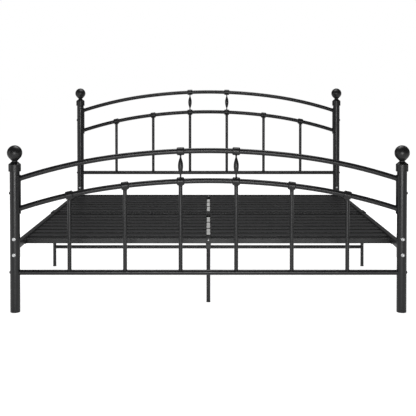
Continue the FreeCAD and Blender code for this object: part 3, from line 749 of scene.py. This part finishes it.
class BED_OT_saddle_plates(bpy.types.Operator):
    """Curved plates between the posts and the arches, with the weld beads of the arch ends."""
    bl_idname = "bed.saddle_plates"
    bl_label = "Saddle Plates"

    def execute(self, context):
        sizes = context.scene.bed_sizes
        for end in ENDS:
            node_name = f"{end}_saddle_plates"
            bm = bmesh.new()
            for side in SIDES:
                inward = X * -SIDES[side]
                curved_plate(bm, post_at(side, end), low_of(node_name).z, high_of(node_name).z,
                             POST_R + sizes.plate_gap, sizes.saddle_t, inward, sizes.saddle_wrap,
                             sizes.plate_corner)
                for level in ("upper", "lower"):
                    tip, along = on_arch(sizes, end, level, SIDES[side] * arch_half_span(sizes))
                    joint = (post_at(side, end), Z, HALF_X - arch_half_span(sizes))
                    weld_bead(bm, tip, along, TUBE_R, joint, sizes.bead)
            stand_in(node_name, bm, "frame_black")
        return {"FINISHED"}


class BED_OT_bottom_rails(bpy.types.Operator):
    """Straight bottom rail of each panel, shaped round the posts at its ends."""
    bl_idname = "bed.bottom_rails"
    bl_label = "Bottom Rails"

    def execute(self, context):
        sizes = context.scene.bed_sizes
        for end in ENDS:
            node_name = f"{end}_bottom_rail"
            z = middle_of(node_name).z
            bm = bmesh.new()
            left, right = straight_tube(bm, post_at("left", end, z) + X * POST_R,
                                        post_at("right", end, z) - X * POST_R, TUBE_R)
            cope(left, X, post_at("left", end), Z, POST_R + sizes.plate_gap)
            cope(right, X, post_at("right", end), Z, POST_R + sizes.plate_gap)
            stand_in(node_name, bm, "frame_black", wall=sizes.tube_wall)
        return {"FINISHED"}


class BED_OT_balusters(bpy.types.Operator):
    """Upright tubes from the bottom rail to the knuckles of the lower arch."""
    bl_idname = "bed.balusters"
    bl_label = "Balusters"

    def execute(self, context):
        sizes = context.scene.bed_sizes
        for end in ENDS:
            rail = middle_of(f"{end}_bottom_rail")
            for number, x in enumerate(BALUSTERS, 1):
                node_name = f"{end}_baluster_{number}"
                top = Vector((x, rail.y, high_of(node_name).z))
                joint = (Vector((x, rail.y, rail.z)), X, TUBE_R)
                tube = bmesh.new()
                upper, lower = straight_tube(tube, top, Vector((x, rail.y, rail.z + TUBE_R)), BALUSTER_R)
                cope(lower, Z, *joint)
                bmesh.ops.recalc_face_normals(tube, faces=tube.faces)
                bmesh.ops.solidify(tube, geom=list(tube.faces), thickness=sizes.baluster_wall)
                bm = bmesh.new()
                join(bm, tube)
                weld_bead(bm, Vector((x, rail.y, rail.z + TUBE_R)), Z, BALUSTER_R, joint, sizes.bead * 0.8,
                          steps=48, ripples=12)
                stand_in(node_name, bm, "frame_black")
        return {"FINISHED"}


def neck_on_knuckle(bm, centre, along, way, start_r, end_r, height, knuckle_r):
    """Round neck that leaves a knuckle up or down and blends into it with a cast fillet."""
    flat = knuckle_r * 0.93
    fillet = 0.0045
    outline = [(0.0, height), (start_r - 0.0005, height), (start_r, height - 0.0005)]
    count = 10
    for step in range(1, count + 1):
        t = step / count
        radius = start_r + (end_r - start_r) * t + fillet * t ** 4
        outline.append((radius, height + (flat - height) * t))
    outline.append((0.0, flat))
    for vert in lathe(bm, outline, centre, way, SMALL_ROUND):
        rise = (vert.co - centre).dot(way)
        share = min(max((height - rise) / (height - flat), 0.0), 1.0)
        shift = reach_to(vert.co, way, centre, along, knuckle_r * 0.997)
        vert.co += way * shift * share ** 3


class BED_OT_knuckles(bpy.types.Operator):
    """Die-cast knuckles on the arches, with necks for the balusters and bosses for the spindles."""
    bl_idname = "bed.knuckles"
    bl_label = "Knuckles"

    def execute(self, context):
        sizes = context.scene.bed_sizes
        for end in ENDS:
            bm = bmesh.new()
            for number, x in enumerate(BALUSTERS, 1):
                centre, along = on_arch(sizes, end, "lower", x)
                self.barrel(bm, sizes, centre, along)
                foot = centre.z - high_of(f"{end}_baluster_{number}").z
                neck_on_knuckle(bm, centre, along, -Z, BALUSTER_R, sizes.knuckle_neck_d / 2, foot,
                                sizes.knuckle_d / 2)
                if x in SPINDLES:
                    self.boss(bm, sizes, centre, along, Z)
            for x in SPINDLES:
                centre, along = on_arch(sizes, end, "upper", x)
                self.barrel(bm, sizes, centre, along)
                self.boss(bm, sizes, centre, along, -Z)
            stand_in(f"{end}_knuckles", bm, "casting_black")
        return {"FINISHED"}

    def barrel(self, bm, sizes, centre, along):
        half = sizes.knuckle_l / 2
        radius = sizes.knuckle_d / 2
        cut = sizes.knuckle_chamfer
        bore = TUBE_R + CLOSE_FIT
        soft = 0.0009
        outline = [(bore, -half + soft), (bore + soft, -half), (radius - cut - soft / 2, -half),
                   (radius - cut + soft * 0.4, -half + soft * 0.4)]
        outline += [(radius - soft * 0.9, -half + cut - soft * 0.9),
                    (radius - soft * 0.2, -half + cut - soft * 0.1),
                    (radius, -half + cut + soft)]
        outline += [(r, -h) for r, h in reversed(outline)]
        lathe(bm, outline, centre, along, ROUND, closed=True)

    def boss(self, bm, sizes, centre, along, way):
        radius = sizes.boss_d / 2
        neck_on_knuckle(bm, centre, along, way, radius - 0.0015, radius, sizes.knuckle_d / 2 + sizes.boss_h,
                        sizes.knuckle_d / 2)


class BED_OT_spindles(bpy.types.Operator):
    """Turned spindles between the arches: a lens on two thin stems."""
    bl_idname = "bed.spindles"
    bl_label = "Spindles"

    def execute(self, context):
        sizes = context.scene.bed_sizes
        for end in ENDS:
            bm = bmesh.new()
            for x in SPINDLES:
                low = on_arch(sizes, end, "lower", x)[0] + Z * (sizes.knuckle_d / 2 + sizes.boss_h)
                high = on_arch(sizes, end, "upper", x)[0] - Z * (sizes.knuckle_d / 2 + sizes.boss_h)
                lathe(bm, self.outline(sizes, high.z - low.z), low, Z, SMALL_ROUND)
            stand_in(f"{end}_spindles", bm, "casting_black")
        return {"FINISHED"}

    def outline(self, sizes, height):
        """Stem, lens and stem, with soft hollows where the stems grow into the lens."""
        thin = sizes.spindle_end_d / 2
        thick = sizes.spindle_d / 2
        points = [(0, 0), (thin, 0)]
        count = 36
        for step in range(1, count):
            t = step / count
            along = min(max((t * height - sizes.spindle_stem) / (height - 2 * sizes.spindle_stem), 0), 1)
            lens = max(1 - (2 * along - 1) ** 2, 0.0)
            points.append((thin + (thick - thin) * lens ** 1.15, t * height))
        return points + [(thin, height), (0, height)]


# --- side rails and brackets -----------------------------------------------------------

class BED_OT_side_rails(bpy.types.Operator):
    """Side rails in two halves each: rectangular tube with slots for the slats' tongues."""
    bl_idname = "bed.side_rails"
    bl_label = "Side Rails"

    def execute(self, context):
        sizes = context.scene.bed_sizes
        for side, end in corners():
            node_name = f"{side}_rail_{end}_half"
            low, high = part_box(node_name)
            bm = bmesh.new()
            verts = bar(bm, low, high, Y, 0.003, open_ends=True)
            post = post_at(side, end)
            outer = [vert for vert in verts if abs(vert.co.y - post.y) < abs(high.y - low.y) / 2]
            self.cut_slots(bm, sizes, side, end)
            cope(outer, Y * -ENDS[end], post, Z, POST_R + 2 * sizes.plate_gap + sizes.bracket_t)
            stand_in(node_name, bm, "frame_black", wall=sizes.rail_wall, soft=0.0003)
        return {"FINISHED"}

    def cut_slots(self, bm, sizes, side, end):
        """Open a slot in the rail's inner wall for the tongue of each slat."""
        gap = sizes.slot_gap
        low = DECK_TOP - sizes.slat_wall - gap
        high = DECK_TOP + gap
        half = sizes.tongue_w / 2 + gap
        cuts = [(Z * low, Z), (Z * high, Z)]
        for y in slat_places(end):
            cuts += [(Y * (y - half), Y), (Y * (y + half), Y)]
        for point, normal in cuts:
            cut_through(bm, point, normal)
        inner = X * -SIDES[side]
        opened = []
        for face in bm.faces:
            at = face.calc_center_median()
            in_slot = low < at.z < high and any(abs(at.y - y) < half for y in slat_places(end))
            if in_slot and (at.x - post_at(side, end).x) * inner.x > RAIL_W * 0.4:
                opened.append(face)
        bmesh.ops.delete(bm, geom=opened, context="FACES")


def slat_places(end):
    """Y of the middle of each slat between the middle cross bar and the one at this end."""
    pitch = BAR_Y[end] / (SLATS + 1)
    return [pitch * (number + 1) for number in range(SLATS)]


class BED_OT_rail_brackets(bpy.types.Operator):
    """Curved brackets between the side rails and the posts, welded to the rails."""
    bl_idname = "bed.rail_brackets"
    bl_label = "Rail Brackets"

    def execute(self, context):
        sizes = context.scene.bed_sizes
        bm = bmesh.new()
        for side, end in corners():
            low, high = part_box("rail_end_brackets")
            curved_plate(bm, post_at(side, end), low.z, high.z, POST_R + sizes.plate_gap, sizes.bracket_t,
                         Y * -ENDS[end], sizes.bracket_wrap, sizes.plate_corner)
            self.seams(bm, sizes, side, end)
        stand_in("rail_end_brackets", bm, "frame_black")
        return {"FINISHED"}

    def seams(self, bm, sizes, side, end):
        """Weld seams down both sides of the rail and along its top and underside."""
        inward = -ENDS[end]
        out_r = POST_R + sizes.plate_gap + sizes.bracket_t
        post = post_at(side, end)
        for way in (-1, 1):
            x = way * RAIL_W / 2
            y = math.sqrt(out_r ** 2 - x ** 2)
            start = post + X * x + Y * inward * y
            seam(bm, start + Z * (RAIL_BOTTOM + 0.003), start + Z * (RAIL_TOP - 0.003), sizes.bead)
        for z in (RAIL_BOTTOM, RAIL_TOP):
            start = post + Y * inward * out_r + Z * z
            seam(bm, start - X * RAIL_W * 0.36, start + X * RAIL_W * 0.36, sizes.bead)


def seam(bm, start, end, bead):
    """Straight weld seam with a soft ripple, closed at both ends."""
    reach = (end - start).length
    count = max(int(reach / SEAM_PITCH) * 4, 8)
    outline = [(0.0, 0.0)]
    for step in range(count + 1):
        t = step / count
        swell = math.sqrt(max(1 - (2 * t - 1) ** 12, 0.0))
        ripple = 1 + 0.12 * math.sin(2 * math.pi * reach * t / SEAM_PITCH)
        outline.append((max(bead * swell * ripple, 0.0001), reach * t))
    lathe(bm, outline + [(0.0, reach)], start, (end - start).normalized(), 10)


class BED_OT_rail_sleeves(bpy.types.Operator):
    """Box sleeves that hold the two halves of each side rail together."""
    bl_idname = "bed.rail_sleeves"
    bl_label = "Rail Sleeves"

    def execute(self, context):
        sizes = context.scene.bed_sizes
        low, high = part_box("rail_sleeves")
        half = Vector((high.x - HALF_X, 0, 0))
        bm = bmesh.new()
        for side in SIDES:
            at = X * SIDES[side] * HALF_X
            bar(bm, at - half + low * Vector((0, 1, 1)), at + half + high * Vector((0, 1, 1)), Y,
                sizes.sleeve_t, open_ends=True)
        stand_in("rail_sleeves", bm, "frame_black", wall=sizes.sleeve_t, soft=0.0004)
        return {"FINISHED"}


# --- deck ------------------------------------------------------------------------------

class BED_OT_cross_bars(bpy.types.Operator):
    """Three cross bars with a flange welded to each end."""
    bl_idname = "bed.cross_bars"
    bl_label = "Cross Bars"

    def execute(self, context):
        sizes = context.scene.bed_sizes
        for place, y in BAR_Y.items():
            node_name = f"{place}_cross_bar"
            low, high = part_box(node_name)
            bm = bmesh.new()
            tube = bmesh.new()
            bar(tube, Vector((low.x + sizes.flange_t, y - BAR_W / 2, low.z)),
                Vector((high.x - sizes.flange_t, y + BAR_W / 2, high.z)), X, 0.0012)
            join(bm, tube)
            for way in (-1, 1):
                face = high.x if way > 0 else low.x
                near, far = sorted((face, face - way * sizes.flange_t))
                plate(bm, Vector((near, low.y, low.z)), Vector((far, high.y, high.z)), 0.003, X)
                root = face - way * sizes.flange_t
                for step in (-1, 1):
                    at = Vector((root, y + step * BAR_W / 2, 0))
                    seam(bm, at + Z * (low.z + 0.003), at + Z * (high.z - 0.003), sizes.bead * 0.8)
            stand_in(node_name, bm, "frame_black")
        return {"FINISHED"}


class BED_OT_slats(bpy.types.Operator):
    """Half slats rolled from sheet: channels open below, each with a tongue in the side rail."""
    bl_idname = "bed.slats"
    bl_label = "Slats"

    def execute(self, context):
        sizes = context.scene.bed_sizes
        for side, end in corners():
            node_name = f"{end}_{side}_slats"
            bm = bmesh.new()
            for y in slat_places(end):
                join(bm, self.slat(sizes, node_name, side, y))
            stand_in(node_name, bm, "slat_black", wall=sizes.slat_wall)
        return {"FINISHED"}

    def slat(self, sizes, node_name, side, y):
        """One half slat, with its tongue drawn out of the channel's top."""
        low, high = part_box(node_name)
        way = SIDES[side]
        tip = high.x if way > 0 else low.x
        inner = low.x if way > 0 else high.x
        outer = tip - way * sizes.tongue_l
        near, far = sorted((inner, outer))
        part = bmesh.new()
        bar(part, Vector((near, y - sizes.slat_w / 2, low.z - 0.01)),
            Vector((far, y + sizes.slat_w / 2, high.z)), X, 0.0025, open_ends=True)
        cut_through(part, Z * low.z, -Z, clear_outer=True)
        half = sizes.tongue_w / 2
        for edge_y in (y - half, y + half):
            cut_through(part, Y * edge_y, Y)
        near_enough = MERGE * 10
        tongue = [edge for edge in part.edges
                  if all(abs(vert.co.x - outer) < near_enough and abs(vert.co.y - y) < half + near_enough
                         and abs(vert.co.z - high.z) < near_enough for vert in edge.verts)]
        made = bmesh.ops.extrude_edge_only(part, edges=tongue)
        bmesh.ops.translate(part, verts=verts_in(made["geom"]), vec=X * way * sizes.tongue_l)
        bmesh.ops.recalc_face_normals(part, faces=part.faces)
        return part


class BED_OT_centre_beam(bpy.types.Operator):
    """Centre beam with its ledge, end brackets and the noise strips under the slats' ends."""
    bl_idname = "bed.centre_beam"
    bl_label = "Centre Beam"

    def execute(self, context):
        sizes = context.scene.bed_sizes
        split = 0.0005
        beam_low, beam_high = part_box("centre_beams")
        ledge_low, ledge_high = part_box("centre_ledges")
        inner_face = BAR_Y["head"] - BAR_W / 2
        self.halves("centre_beams", [(beam_low, beam_high, split, beam_high.y)], 0.0025,
                    wall=sizes.rail_wall)
        under_bar = (Vector((beam_low.x, 0, ledge_low.z)), Vector((beam_high.x, 0, ledge_high.z)),
                     inner_face, ledge_high.y)
        self.halves("centre_ledges", [(ledge_low, ledge_high, split, inner_face), under_bar], 0.0008)
        self.brackets()
        self.strips()
        return {"FINISHED"}

    def halves(self, node_name, stretches, corner, wall=0.0):
        """Both halves of a bar along the bed, as (low, high, near y, far y) stretches of the head half."""
        bm = bmesh.new()
        for low, high, near, far in stretches:
            for first, last in ((near, far), (-far, -near)):
                part = bmesh.new()
                bar(part, Vector((low.x, first, low.z)), Vector((high.x, last, high.z)), Y, corner,
                    segments=3)
                joint = [face for face in part.faces if abs(face.normal.y) > 0.9
                         and abs(abs(face.calc_center_median().y) - near) < MERGE]
                if wall:
                    bmesh.ops.delete(part, geom=joint, context="FACES_ONLY")
                join(bm, part)
        stand_in(node_name, bm, "frame_black", wall=wall, soft=0.0003)

    def brackets(self):
        """Angle that ties an end cross bar to the ledge."""
        low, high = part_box("centre_brackets")
        thick = CENTRE_BRACKET_T
        foot = 0.040
        bm = bmesh.new()
        for end, way in ENDS.items():
            face = high.y if way > 0 else low.y
            near, far = sorted((face, face - way * foot))
            plate(bm, Vector((low.x, near, low.z)), Vector((high.x, far, low.z + thick)), 0.004, Z)
            near, far = sorted((face, face - way * thick))
            plate(bm, Vector((low.x, near, low.z)), Vector((high.x, far, high.z)), 0.002, Y)
        stand_in("centre_brackets", bm, "frame_black")

    def strips(self):
        """One strip for each pair of slats, laid in the slot between the left and right slats."""
        low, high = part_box("noise_strips")
        pitch = BAR_Y["head"] / (SLATS + 1)
        gap = 0.015
        bm = bmesh.new()
        for half in ("foot", "middle"):
            last = BAR_Y[half] + (SLATS + 1) * pitch - BAR_W / 2 - gap
            for step in range(2, SLATS + 1, 2):
                start = BAR_Y[half] + step * pitch + gap
                stop = min(BAR_Y[half] + (step + 2) * pitch - gap, last, high.y)
                plate(bm, Vector((low.x, start, low.z)), Vector((high.x, stop, high.z)), 0.002, Z)
        stand_in("noise_strips", bm, "noise_plastic")


# --- legs ------------------------------------------------------------------------------

class BED_OT_legs(bpy.types.Operator):
    """Centre legs, side legs, their plastic glides and the low stretchers between them."""
    bl_idname = "bed.legs"
    bl_label = "Legs"

    def execute(self, context):
        sizes = context.scene.bed_sizes
        leg_r = extent_of("centre_legs").x / 2
        bm = bmesh.new()
        for y in BAR_Y.values():
            self.leg(bm, Vector((0, y, 0)), "centre_legs", leg_r, sizes)
        stand_in("centre_legs", bm, "frame_black")
        bm = bmesh.new()
        for side in SIDES:
            self.leg(bm, Vector((SIDES[side] * HALF_X, 0, 0)), "side_legs", leg_r, sizes)
        stand_in("side_legs", bm, "frame_black")
        self.glides(leg_r)
        self.stretchers(sizes, leg_r)
        return {"FINISHED"}

    def leg(self, bm, at, node_name, leg_r, sizes):
        """Round leg with the weld bead round its top."""
        low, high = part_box(node_name)
        inner_r = leg_r - sizes.leg_wall
        outline = [(inner_r, low.z), (leg_r, low.z), (leg_r, high.z), (inner_r, high.z)]
        lathe(bm, outline, at, Z, SMALL_ROUND, closed=True)
        weld = Vector((at.x, at.y, high.z))
        lathe(bm, bead_outline(leg_r, sizes.bead * 0.8), weld - Z * sizes.bead * 0.5, Z, SMALL_ROUND,
              closed=True)

    def glides(self, leg_r):
        """Plastic glides: a wide foot on a plug that goes up into the leg."""
        cap_t = low_of("centre_legs").z
        glide_r = leg_r + 0.001
        plug_r = leg_r - 0.0014
        plug_h = 0.015
        sole = 0.0012
        brim = 0.0006
        bm = bmesh.new()
        places = [(0, y) for y in BAR_Y.values()] + [(way * HALF_X, 0) for way in (-1, 1)]
        for x, y in places:
            outline = [(0, 0), *arc((glide_r - sole, sole), sole, -90, 0, 4),
                       *arc((glide_r - brim, cap_t - brim), brim, 0, 90, 3),
                       (plug_r, cap_t), (plug_r, cap_t + 0.014), (leg_r - 0.0024, cap_t + plug_h),
                       (0, cap_t + plug_h)]
            lathe(bm, outline, Vector((x, y, 0)), Z, SMALL_ROUND)
        stand_in("leg_glides", bm, "foot_plastic")

    def stretchers(self, sizes, leg_r):
        """Low tubes from the middle centre leg to the side legs, shaped to the legs at both ends."""
        low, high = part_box("leg_stretchers")
        radius = (high.z - low.z) / 2
        z = (high.z + low.z) / 2
        bm = bmesh.new()
        for way in SIDES.values():
            reach = HALF_X - 2 * leg_r
            bore = radius - sizes.leg_wall
            outline = [(bore, 0), (radius, 0), (radius, reach), (bore, reach)]
            start = Vector((way * leg_r, 0, z))
            for vert in lathe(bm, outline, start, X * way, SMALL_ROUND, closed=True):
                is_inner = abs(vert.co.x) < HALF_X / 2
                round_leg = math.sqrt(max(leg_r ** 2 - vert.co.y ** 2, 0.0))
                vert.co.x = way * (round_leg if is_inner else HALF_X - round_leg)
        stand_in("leg_stretchers", bm, "frame_black")


# --- fasteners -------------------------------------------------------------------------

def set_ring(verts, centre, axis, rise, radius):
    """Set a ring's vertices to a height along the axis and a radius round it."""
    for vert in verts:
        out = vert.co - centre
        out -= axis * out.dot(axis)
        vert.co = centre + axis * rise + out.normalized() * radius


def next_ring(bm, verts, centre, axis, rise, radius):
    """Grow a ring by one more ring of that height and radius. Returns the new ring."""
    grown = extrude_ring(bm, verts, Vector((0, 0, 0)))
    set_ring(grown, centre, axis, rise, radius)
    return grown


def socket_bolt(bm, seat, inward, shank, shank_d, head_d, head_h, socket, deep, post=None):
    """Button-head bolt grown from the floor of its hexagon socket. A head on a post is seated on the tube."""
    part = bmesh.new()
    floor_at = seat - inward * (head_h - deep)
    place = Matrix.Translation(floor_at) @ facing(-inward)
    bmesh.ops.create_circle(part, cap_ends=False, segments=6, radius=socket / math.sqrt(3), matrix=place)
    bmesh.ops.subdivide_edges(part, edges=list(part.edges), cuts=5)
    bmesh.ops.contextual_create(part, geom=list(part.edges))
    rim = extrude_ring(part, list(part.verts), -inward * (deep - 0.0003))
    top_r = head_d * 0.31
    for radius, height in [(top_r * 0.98, head_h), *dome(head_d / 2, head_h, top_r), (head_d / 2, 0.0)]:
        rim = next_ring(part, rim, seat, inward, -height, radius)
    if post:
        cope(rim, inward, *post)
    rim = next_ring(part, rim, seat, inward, 0.0004, shank_d / 2)
    if post:
        cope(rim, inward, *post)
    rim = next_ring(part, rim, seat, inward, shank, shank_d / 2)
    bmesh.ops.contextual_create(part, geom=loop_edges(rim))
    join(bm, part)


def dome(rim_r, height, top_r):
    """(radius, height) points of a button head's dome, from its flat top down to its rim."""
    count = 6
    edge = height * 0.3
    points = []
    for step in range(count + 1):
        turn = math.pi / 2 * (1 - step / count)
        points.append((top_r + (rim_r - top_r) * math.cos(turn), edge + (height - edge) * math.sin(turn)))
    return points


def hex_nut(bm, seat, away, height, across, bore_d):
    """Nut with chamfered corners, lying on its seat."""
    part = bmesh.new()
    place = Matrix.Translation(seat) @ facing(away)
    bmesh.ops.create_circle(part, cap_ends=False, segments=6, radius=across / math.sqrt(3), matrix=place)
    bmesh.ops.subdivide_edges(part, edges=list(part.edges), cuts=3)
    first = list(part.verts)
    flats = {heading(vert.co - seat, away): (vert.co - seat).length for vert in first}
    steps = [(0.0, across / 2 * 0.98), (0.0008, None), (height - 0.0012, None), (height, across / 2 * 0.96),
             (height - 0.0006, bore_d / 2), (0.0, bore_d / 2)]
    rim = first
    for number, (rise, radius) in enumerate(steps):
        if number:
            rim = extrude_ring(part, rim, Vector((0, 0, 0)))
        for vert in rim:
            out = vert.co - seat
            out -= away * out.dot(away)
            full = flats.get(heading(out, away), across / math.sqrt(3))
            reach = full if radius is None else min(radius, full)
            vert.co = seat + away * rise + out.normalized() * reach
    bmesh.ops.bridge_loops(part, edges=loop_edges(rim) + loop_edges(first))
    join(bm, part)


def heading(out, axis):
    """Turn of a direction round the axis, rounded so that vertices in line along the axis agree."""
    return round(math.atan2(out.dot(turned(axis)), out.dot(side_of(axis))), 4)


class BED_OT_fasteners(bpy.types.Operator):
    """Zinc and black button-head bolts, and the nuts behind the posts and the centre brackets."""
    bl_idname = "bed.fasteners"
    bl_label = "Bolts and Nuts"

    def execute(self, context):
        sizes = context.scene.bed_sizes
        self.rail_bolts(sizes)
        self.panel_bolts(sizes)
        self.cross_bar_bolts(sizes)
        self.nuts(sizes)
        return {"FINISHED"}

    def bolt_heights(self):
        """Heights of the two bolts through each post into its rail bracket."""
        low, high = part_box("rail_end_brackets")
        middle = (low.z + high.z) / 2
        return (middle - RAIL_BOLT_RISE, middle + RAIL_BOLT_RISE)

    def rail_bolts(self, sizes):
        bm = bmesh.new()
        for side, end in corners():
            inward = Y * -ENDS[end]
            for z in self.bolt_heights():
                centre = post_at(side, end, z)
                shank = 2 * POST_R + sizes.bracket_t + NUT_REACH
                seat = centre - inward * POST_R
                socket_bolt(bm, seat, inward, shank, *RAIL_BOLT, post=(centre, Z, POST_R))
        stand_in("rail_bolts", bm, "zinc_fastener")

    def panel_bolts(self, sizes):
        bm = bmesh.new()
        for side, end in corners():
            inward = X * -SIDES[side]
            arch_end = arch_apex(end, "upper") - sizes.arch_rise - sizes.arch_spacing / 2
            for z in (arch_end, middle_of(f"{end}_bottom_rail").z):
                centre = post_at(side, end, z)
                shank = 2 * POST_R + sizes.saddle_t
                seat = centre - inward * POST_R
                socket_bolt(bm, seat, inward, shank, *PANEL_BOLT, post=(centre, Z, POST_R))
        stand_in("panel_bolts", bm, "black_fastener")

    def cross_bar_bolts(self, sizes):
        """Black bolts in the cross bars' flanges, and a zinc one at each end of the centre beam."""
        bm = bmesh.new()
        z = (RAIL_BOTTOM + DECK_TOP) / 2
        for place, bar_y in BAR_Y.items():
            face = high_of(f"{place}_cross_bar").x - sizes.flange_t
            for way in SIDES.values():
                for step in (-FLANGE_BOLT_STEP, FLANGE_BOLT_STEP):
                    socket_bolt(bm, Vector((way * face, bar_y + step, z)), X * way, 0.012, *SMALL_BOLT)
        piece("visible_flange_bolts", bm, "black_fastener", ["cross_bar_bolts"])
        bm = bmesh.new()
        for end, way in ENDS.items():
            seat = Vector((0, BAR_Y[end] + way * BAR_W / 2, RAIL_BOTTOM + BEAM_BOLT_RISE))
            socket_bolt(bm, seat, Y * -way, 0.035, *SMALL_BOLT)
        stand_in("cross_bar_bolts", bm, "zinc_fastener")

    def nuts(self, sizes):
        bm = bmesh.new()
        for side, end in corners():
            inward = Y * -ENDS[end]
            for z in self.bolt_heights():
                seat = post_at(side, end, z) + inward * (POST_R + 2 * sizes.plate_gap + sizes.bracket_t)
                hex_nut(bm, seat, inward, *POST_NUT)
        for end, way in ENDS.items():
            face = abs(BAR_Y[end]) - BAR_W / 2 - sizes.plate_gap - CENTRE_BRACKET_T
            hex_nut(bm, Vector((0, way * face, RAIL_BOTTOM + BEAM_BOLT_RISE)), Y * -way, *BEAM_NUT)
        stand_in("nuts", bm, "zinc_fastener")


class BED_OT_inner_parts(bpy.types.Operator):
    """Finishes for the parts that stay inside: the rail plugs and the beam joiner."""
    bl_idname = "bed.inner_parts"
    bl_label = "Inner Parts"

    def execute(self, context):
        inner_parts = (("bottom_rail_plugs", "zinc_fastener"), ("centre_beam_joiner", "frame_black"))
        for node_name, slot in inner_parts:
            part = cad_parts[node_name]
            part.data.materials.clear()
            part.data.materials.append(finish_of(slot))
        return {"FINISHED"}


# --- stage -----------------------------------------------------------------------------

def area_light(name, at, aim, width, height, power):
    """Rectangular soft box that looks from one point to another."""
    data = bpy.data.lights.new(name, "AREA")
    data.shape = "RECTANGLE"
    data.size = width
    data.size_y = height
    data.energy = power
    light = bpy.data.objects.new(name, data)
    light.location = at
    light.rotation_euler = (Vector(aim) - Vector(at)).to_track_quat("-Z", "Y").to_euler()
    bpy.context.scene.collection.objects.link(light)


class BED_OT_studio(bpy.types.Operator):
    """Pale floor, soft lights and the camera."""
    bl_idname = "bed.studio"
    bl_label = "Studio"

    def execute(self, context):
        context.scene.view_settings.view_transform = "Standard"
        self.floor()
        self.surroundings()
        for soft_box in SOFT_BOXES:
            area_light(*soft_box)
        self.camera(context)
        return {"FINISHED"}

    def floor(self):
        bm = bmesh.new()
        bmesh.ops.create_grid(bm, x_segments=2, y_segments=2, size=60)
        mesh = bpy.data.meshes.new("floor")
        bm.to_mesh(mesh)
        bm.free()
        floor = bpy.data.objects.new("floor", mesh)
        bpy.context.scene.collection.objects.link(floor)
        material = bpy.data.materials.new("white_studio_floor")
        material.use_nodes = True
        tree = material.node_tree
        tree.nodes.clear()
        # A white floor, lit for the eye as on a light table, so that only faint contact shadows show.
        seen = node(tree, "ShaderNodeLightPath").outputs["Is Camera Ray"]
        shader = node(tree, "ShaderNodeBsdfPrincipled", {"Base Color": linear("f0f0f0"), "Roughness": 0.9,
                                                         "Emission Color": linear("f2f2f2"),
                                                         "Specular IOR Level": 0.0})
        glow = node(tree, "ShaderNodeMapRange", {"Value": seen, "To Min": 0.5, "To Max": 1.0})
        tree.links.new(glow.outputs["Result"], shader.inputs["Emission Strength"])
        node(tree, "ShaderNodeOutputMaterial", {"Surface": shader.outputs["BSDF"]})
        mesh.materials.append(material)

    def surroundings(self):
        """White behind the object for the camera, and a dim, even room for the light on it."""
        world = bpy.data.worlds.new("studio")
        bpy.context.scene.world = world
        world.use_nodes = True
        tree = world.node_tree
        tree.nodes.clear()
        rays = node(tree, "ShaderNodeLightPath")
        room = node(tree, "ShaderNodeBackground", {"Color": linear("ffffff"), "Strength": 0.13})
        backdrop = node(tree, "ShaderNodeBackground", {"Color": linear("ffffff"), "Strength": 1.0})
        both = node(tree, "ShaderNodeMixShader", {"Fac": rays.outputs["Is Camera Ray"]})
        tree.links.new(room.outputs["Background"], both.inputs[1])
        tree.links.new(backdrop.outputs["Background"], both.inputs[2])
        node(tree, "ShaderNodeOutputWorld", {"Surface": both.outputs["Shader"]})

    def camera(self, context):
        """Camera on the bed's middle line, a little above the head panel and a few metres before the foot."""
        data = bpy.data.cameras.new("camera")
        data.sensor_width = 36.0
        data.lens = 72.87
        data.shift_x = -0.0009
        data.shift_y = -0.25
        camera = bpy.data.objects.new("camera", data)
        camera.location = (0, -4.9958, 1.0655)
        camera.rotation_euler = (math.radians(90 - 1.153), 0, 0)
        context.scene.collection.objects.link(camera)
        context.scene.camera = camera


class BED_PT_panel(bpy.types.Panel):
    """Lists the pieces of the bed in the order in which they are built."""
    bl_idname = "BED_PT_panel"
    bl_label = "Metal Bed Frame"
    bl_space_type = "VIEW_3D"
    bl_region_type = "UI"
    bl_category = "Bed"

    def draw(self, context):
        for operator in OPERATORS:
            self.layout.operator(operator.bl_idname)
        for group in (context.scene.bed_sizes, context.scene.bed_colours):
            box = self.layout.box()
            for name in group.bl_rna.properties.keys():
                if name not in ("rna_type", "name"):
                    box.prop(group, name)


OPERATORS = (
    BED_OT_posts,
    BED_OT_finials,
    BED_OT_arches,
    BED_OT_saddle_plates,
    BED_OT_bottom_rails,
    BED_OT_balusters,
    BED_OT_knuckles,
    BED_OT_spindles,
    BED_OT_side_rails,
    BED_OT_rail_brackets,
    BED_OT_rail_sleeves,
    BED_OT_cross_bars,
    BED_OT_slats,
    BED_OT_centre_beam,
    BED_OT_legs,
    BED_OT_fasteners,
    BED_OT_inner_parts,
    BED_OT_studio,
)
CLASSES = (BedSizes, BedColours, *OPERATORS, BED_PT_panel)


def register():
    for cls in CLASSES:
        bpy.utils.register_class(cls)
    bpy.types.Scene.bed_sizes = PointerProperty(type=BedSizes)
    bpy.types.Scene.bed_colours = PointerProperty(type=BedColours)


def unregister():
    del bpy.types.Scene.bed_colours
    del bpy.types.Scene.bed_sizes
    for cls in reversed(CLASSES):
        bpy.utils.unregister_class(cls)


def main():
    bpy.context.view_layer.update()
    register()
    bpy.ops.bed.posts()
    bpy.ops.bed.finials()
    bpy.ops.bed.arches()
    bpy.ops.bed.saddle_plates()
    bpy.ops.bed.bottom_rails()
    bpy.ops.bed.balusters()
    bpy.ops.bed.knuckles()
    bpy.ops.bed.spindles()
    bpy.ops.bed.side_rails()
    bpy.ops.bed.rail_brackets()
    bpy.ops.bed.rail_sleeves()
    bpy.ops.bed.cross_bars()
    bpy.ops.bed.slats()
    bpy.ops.bed.centre_beam()
    bpy.ops.bed.legs()
    bpy.ops.bed.fasteners()
    bpy.ops.bed.inner_parts()
    bpy.ops.bed.studio()


if __name__ == "__main__":
    main()
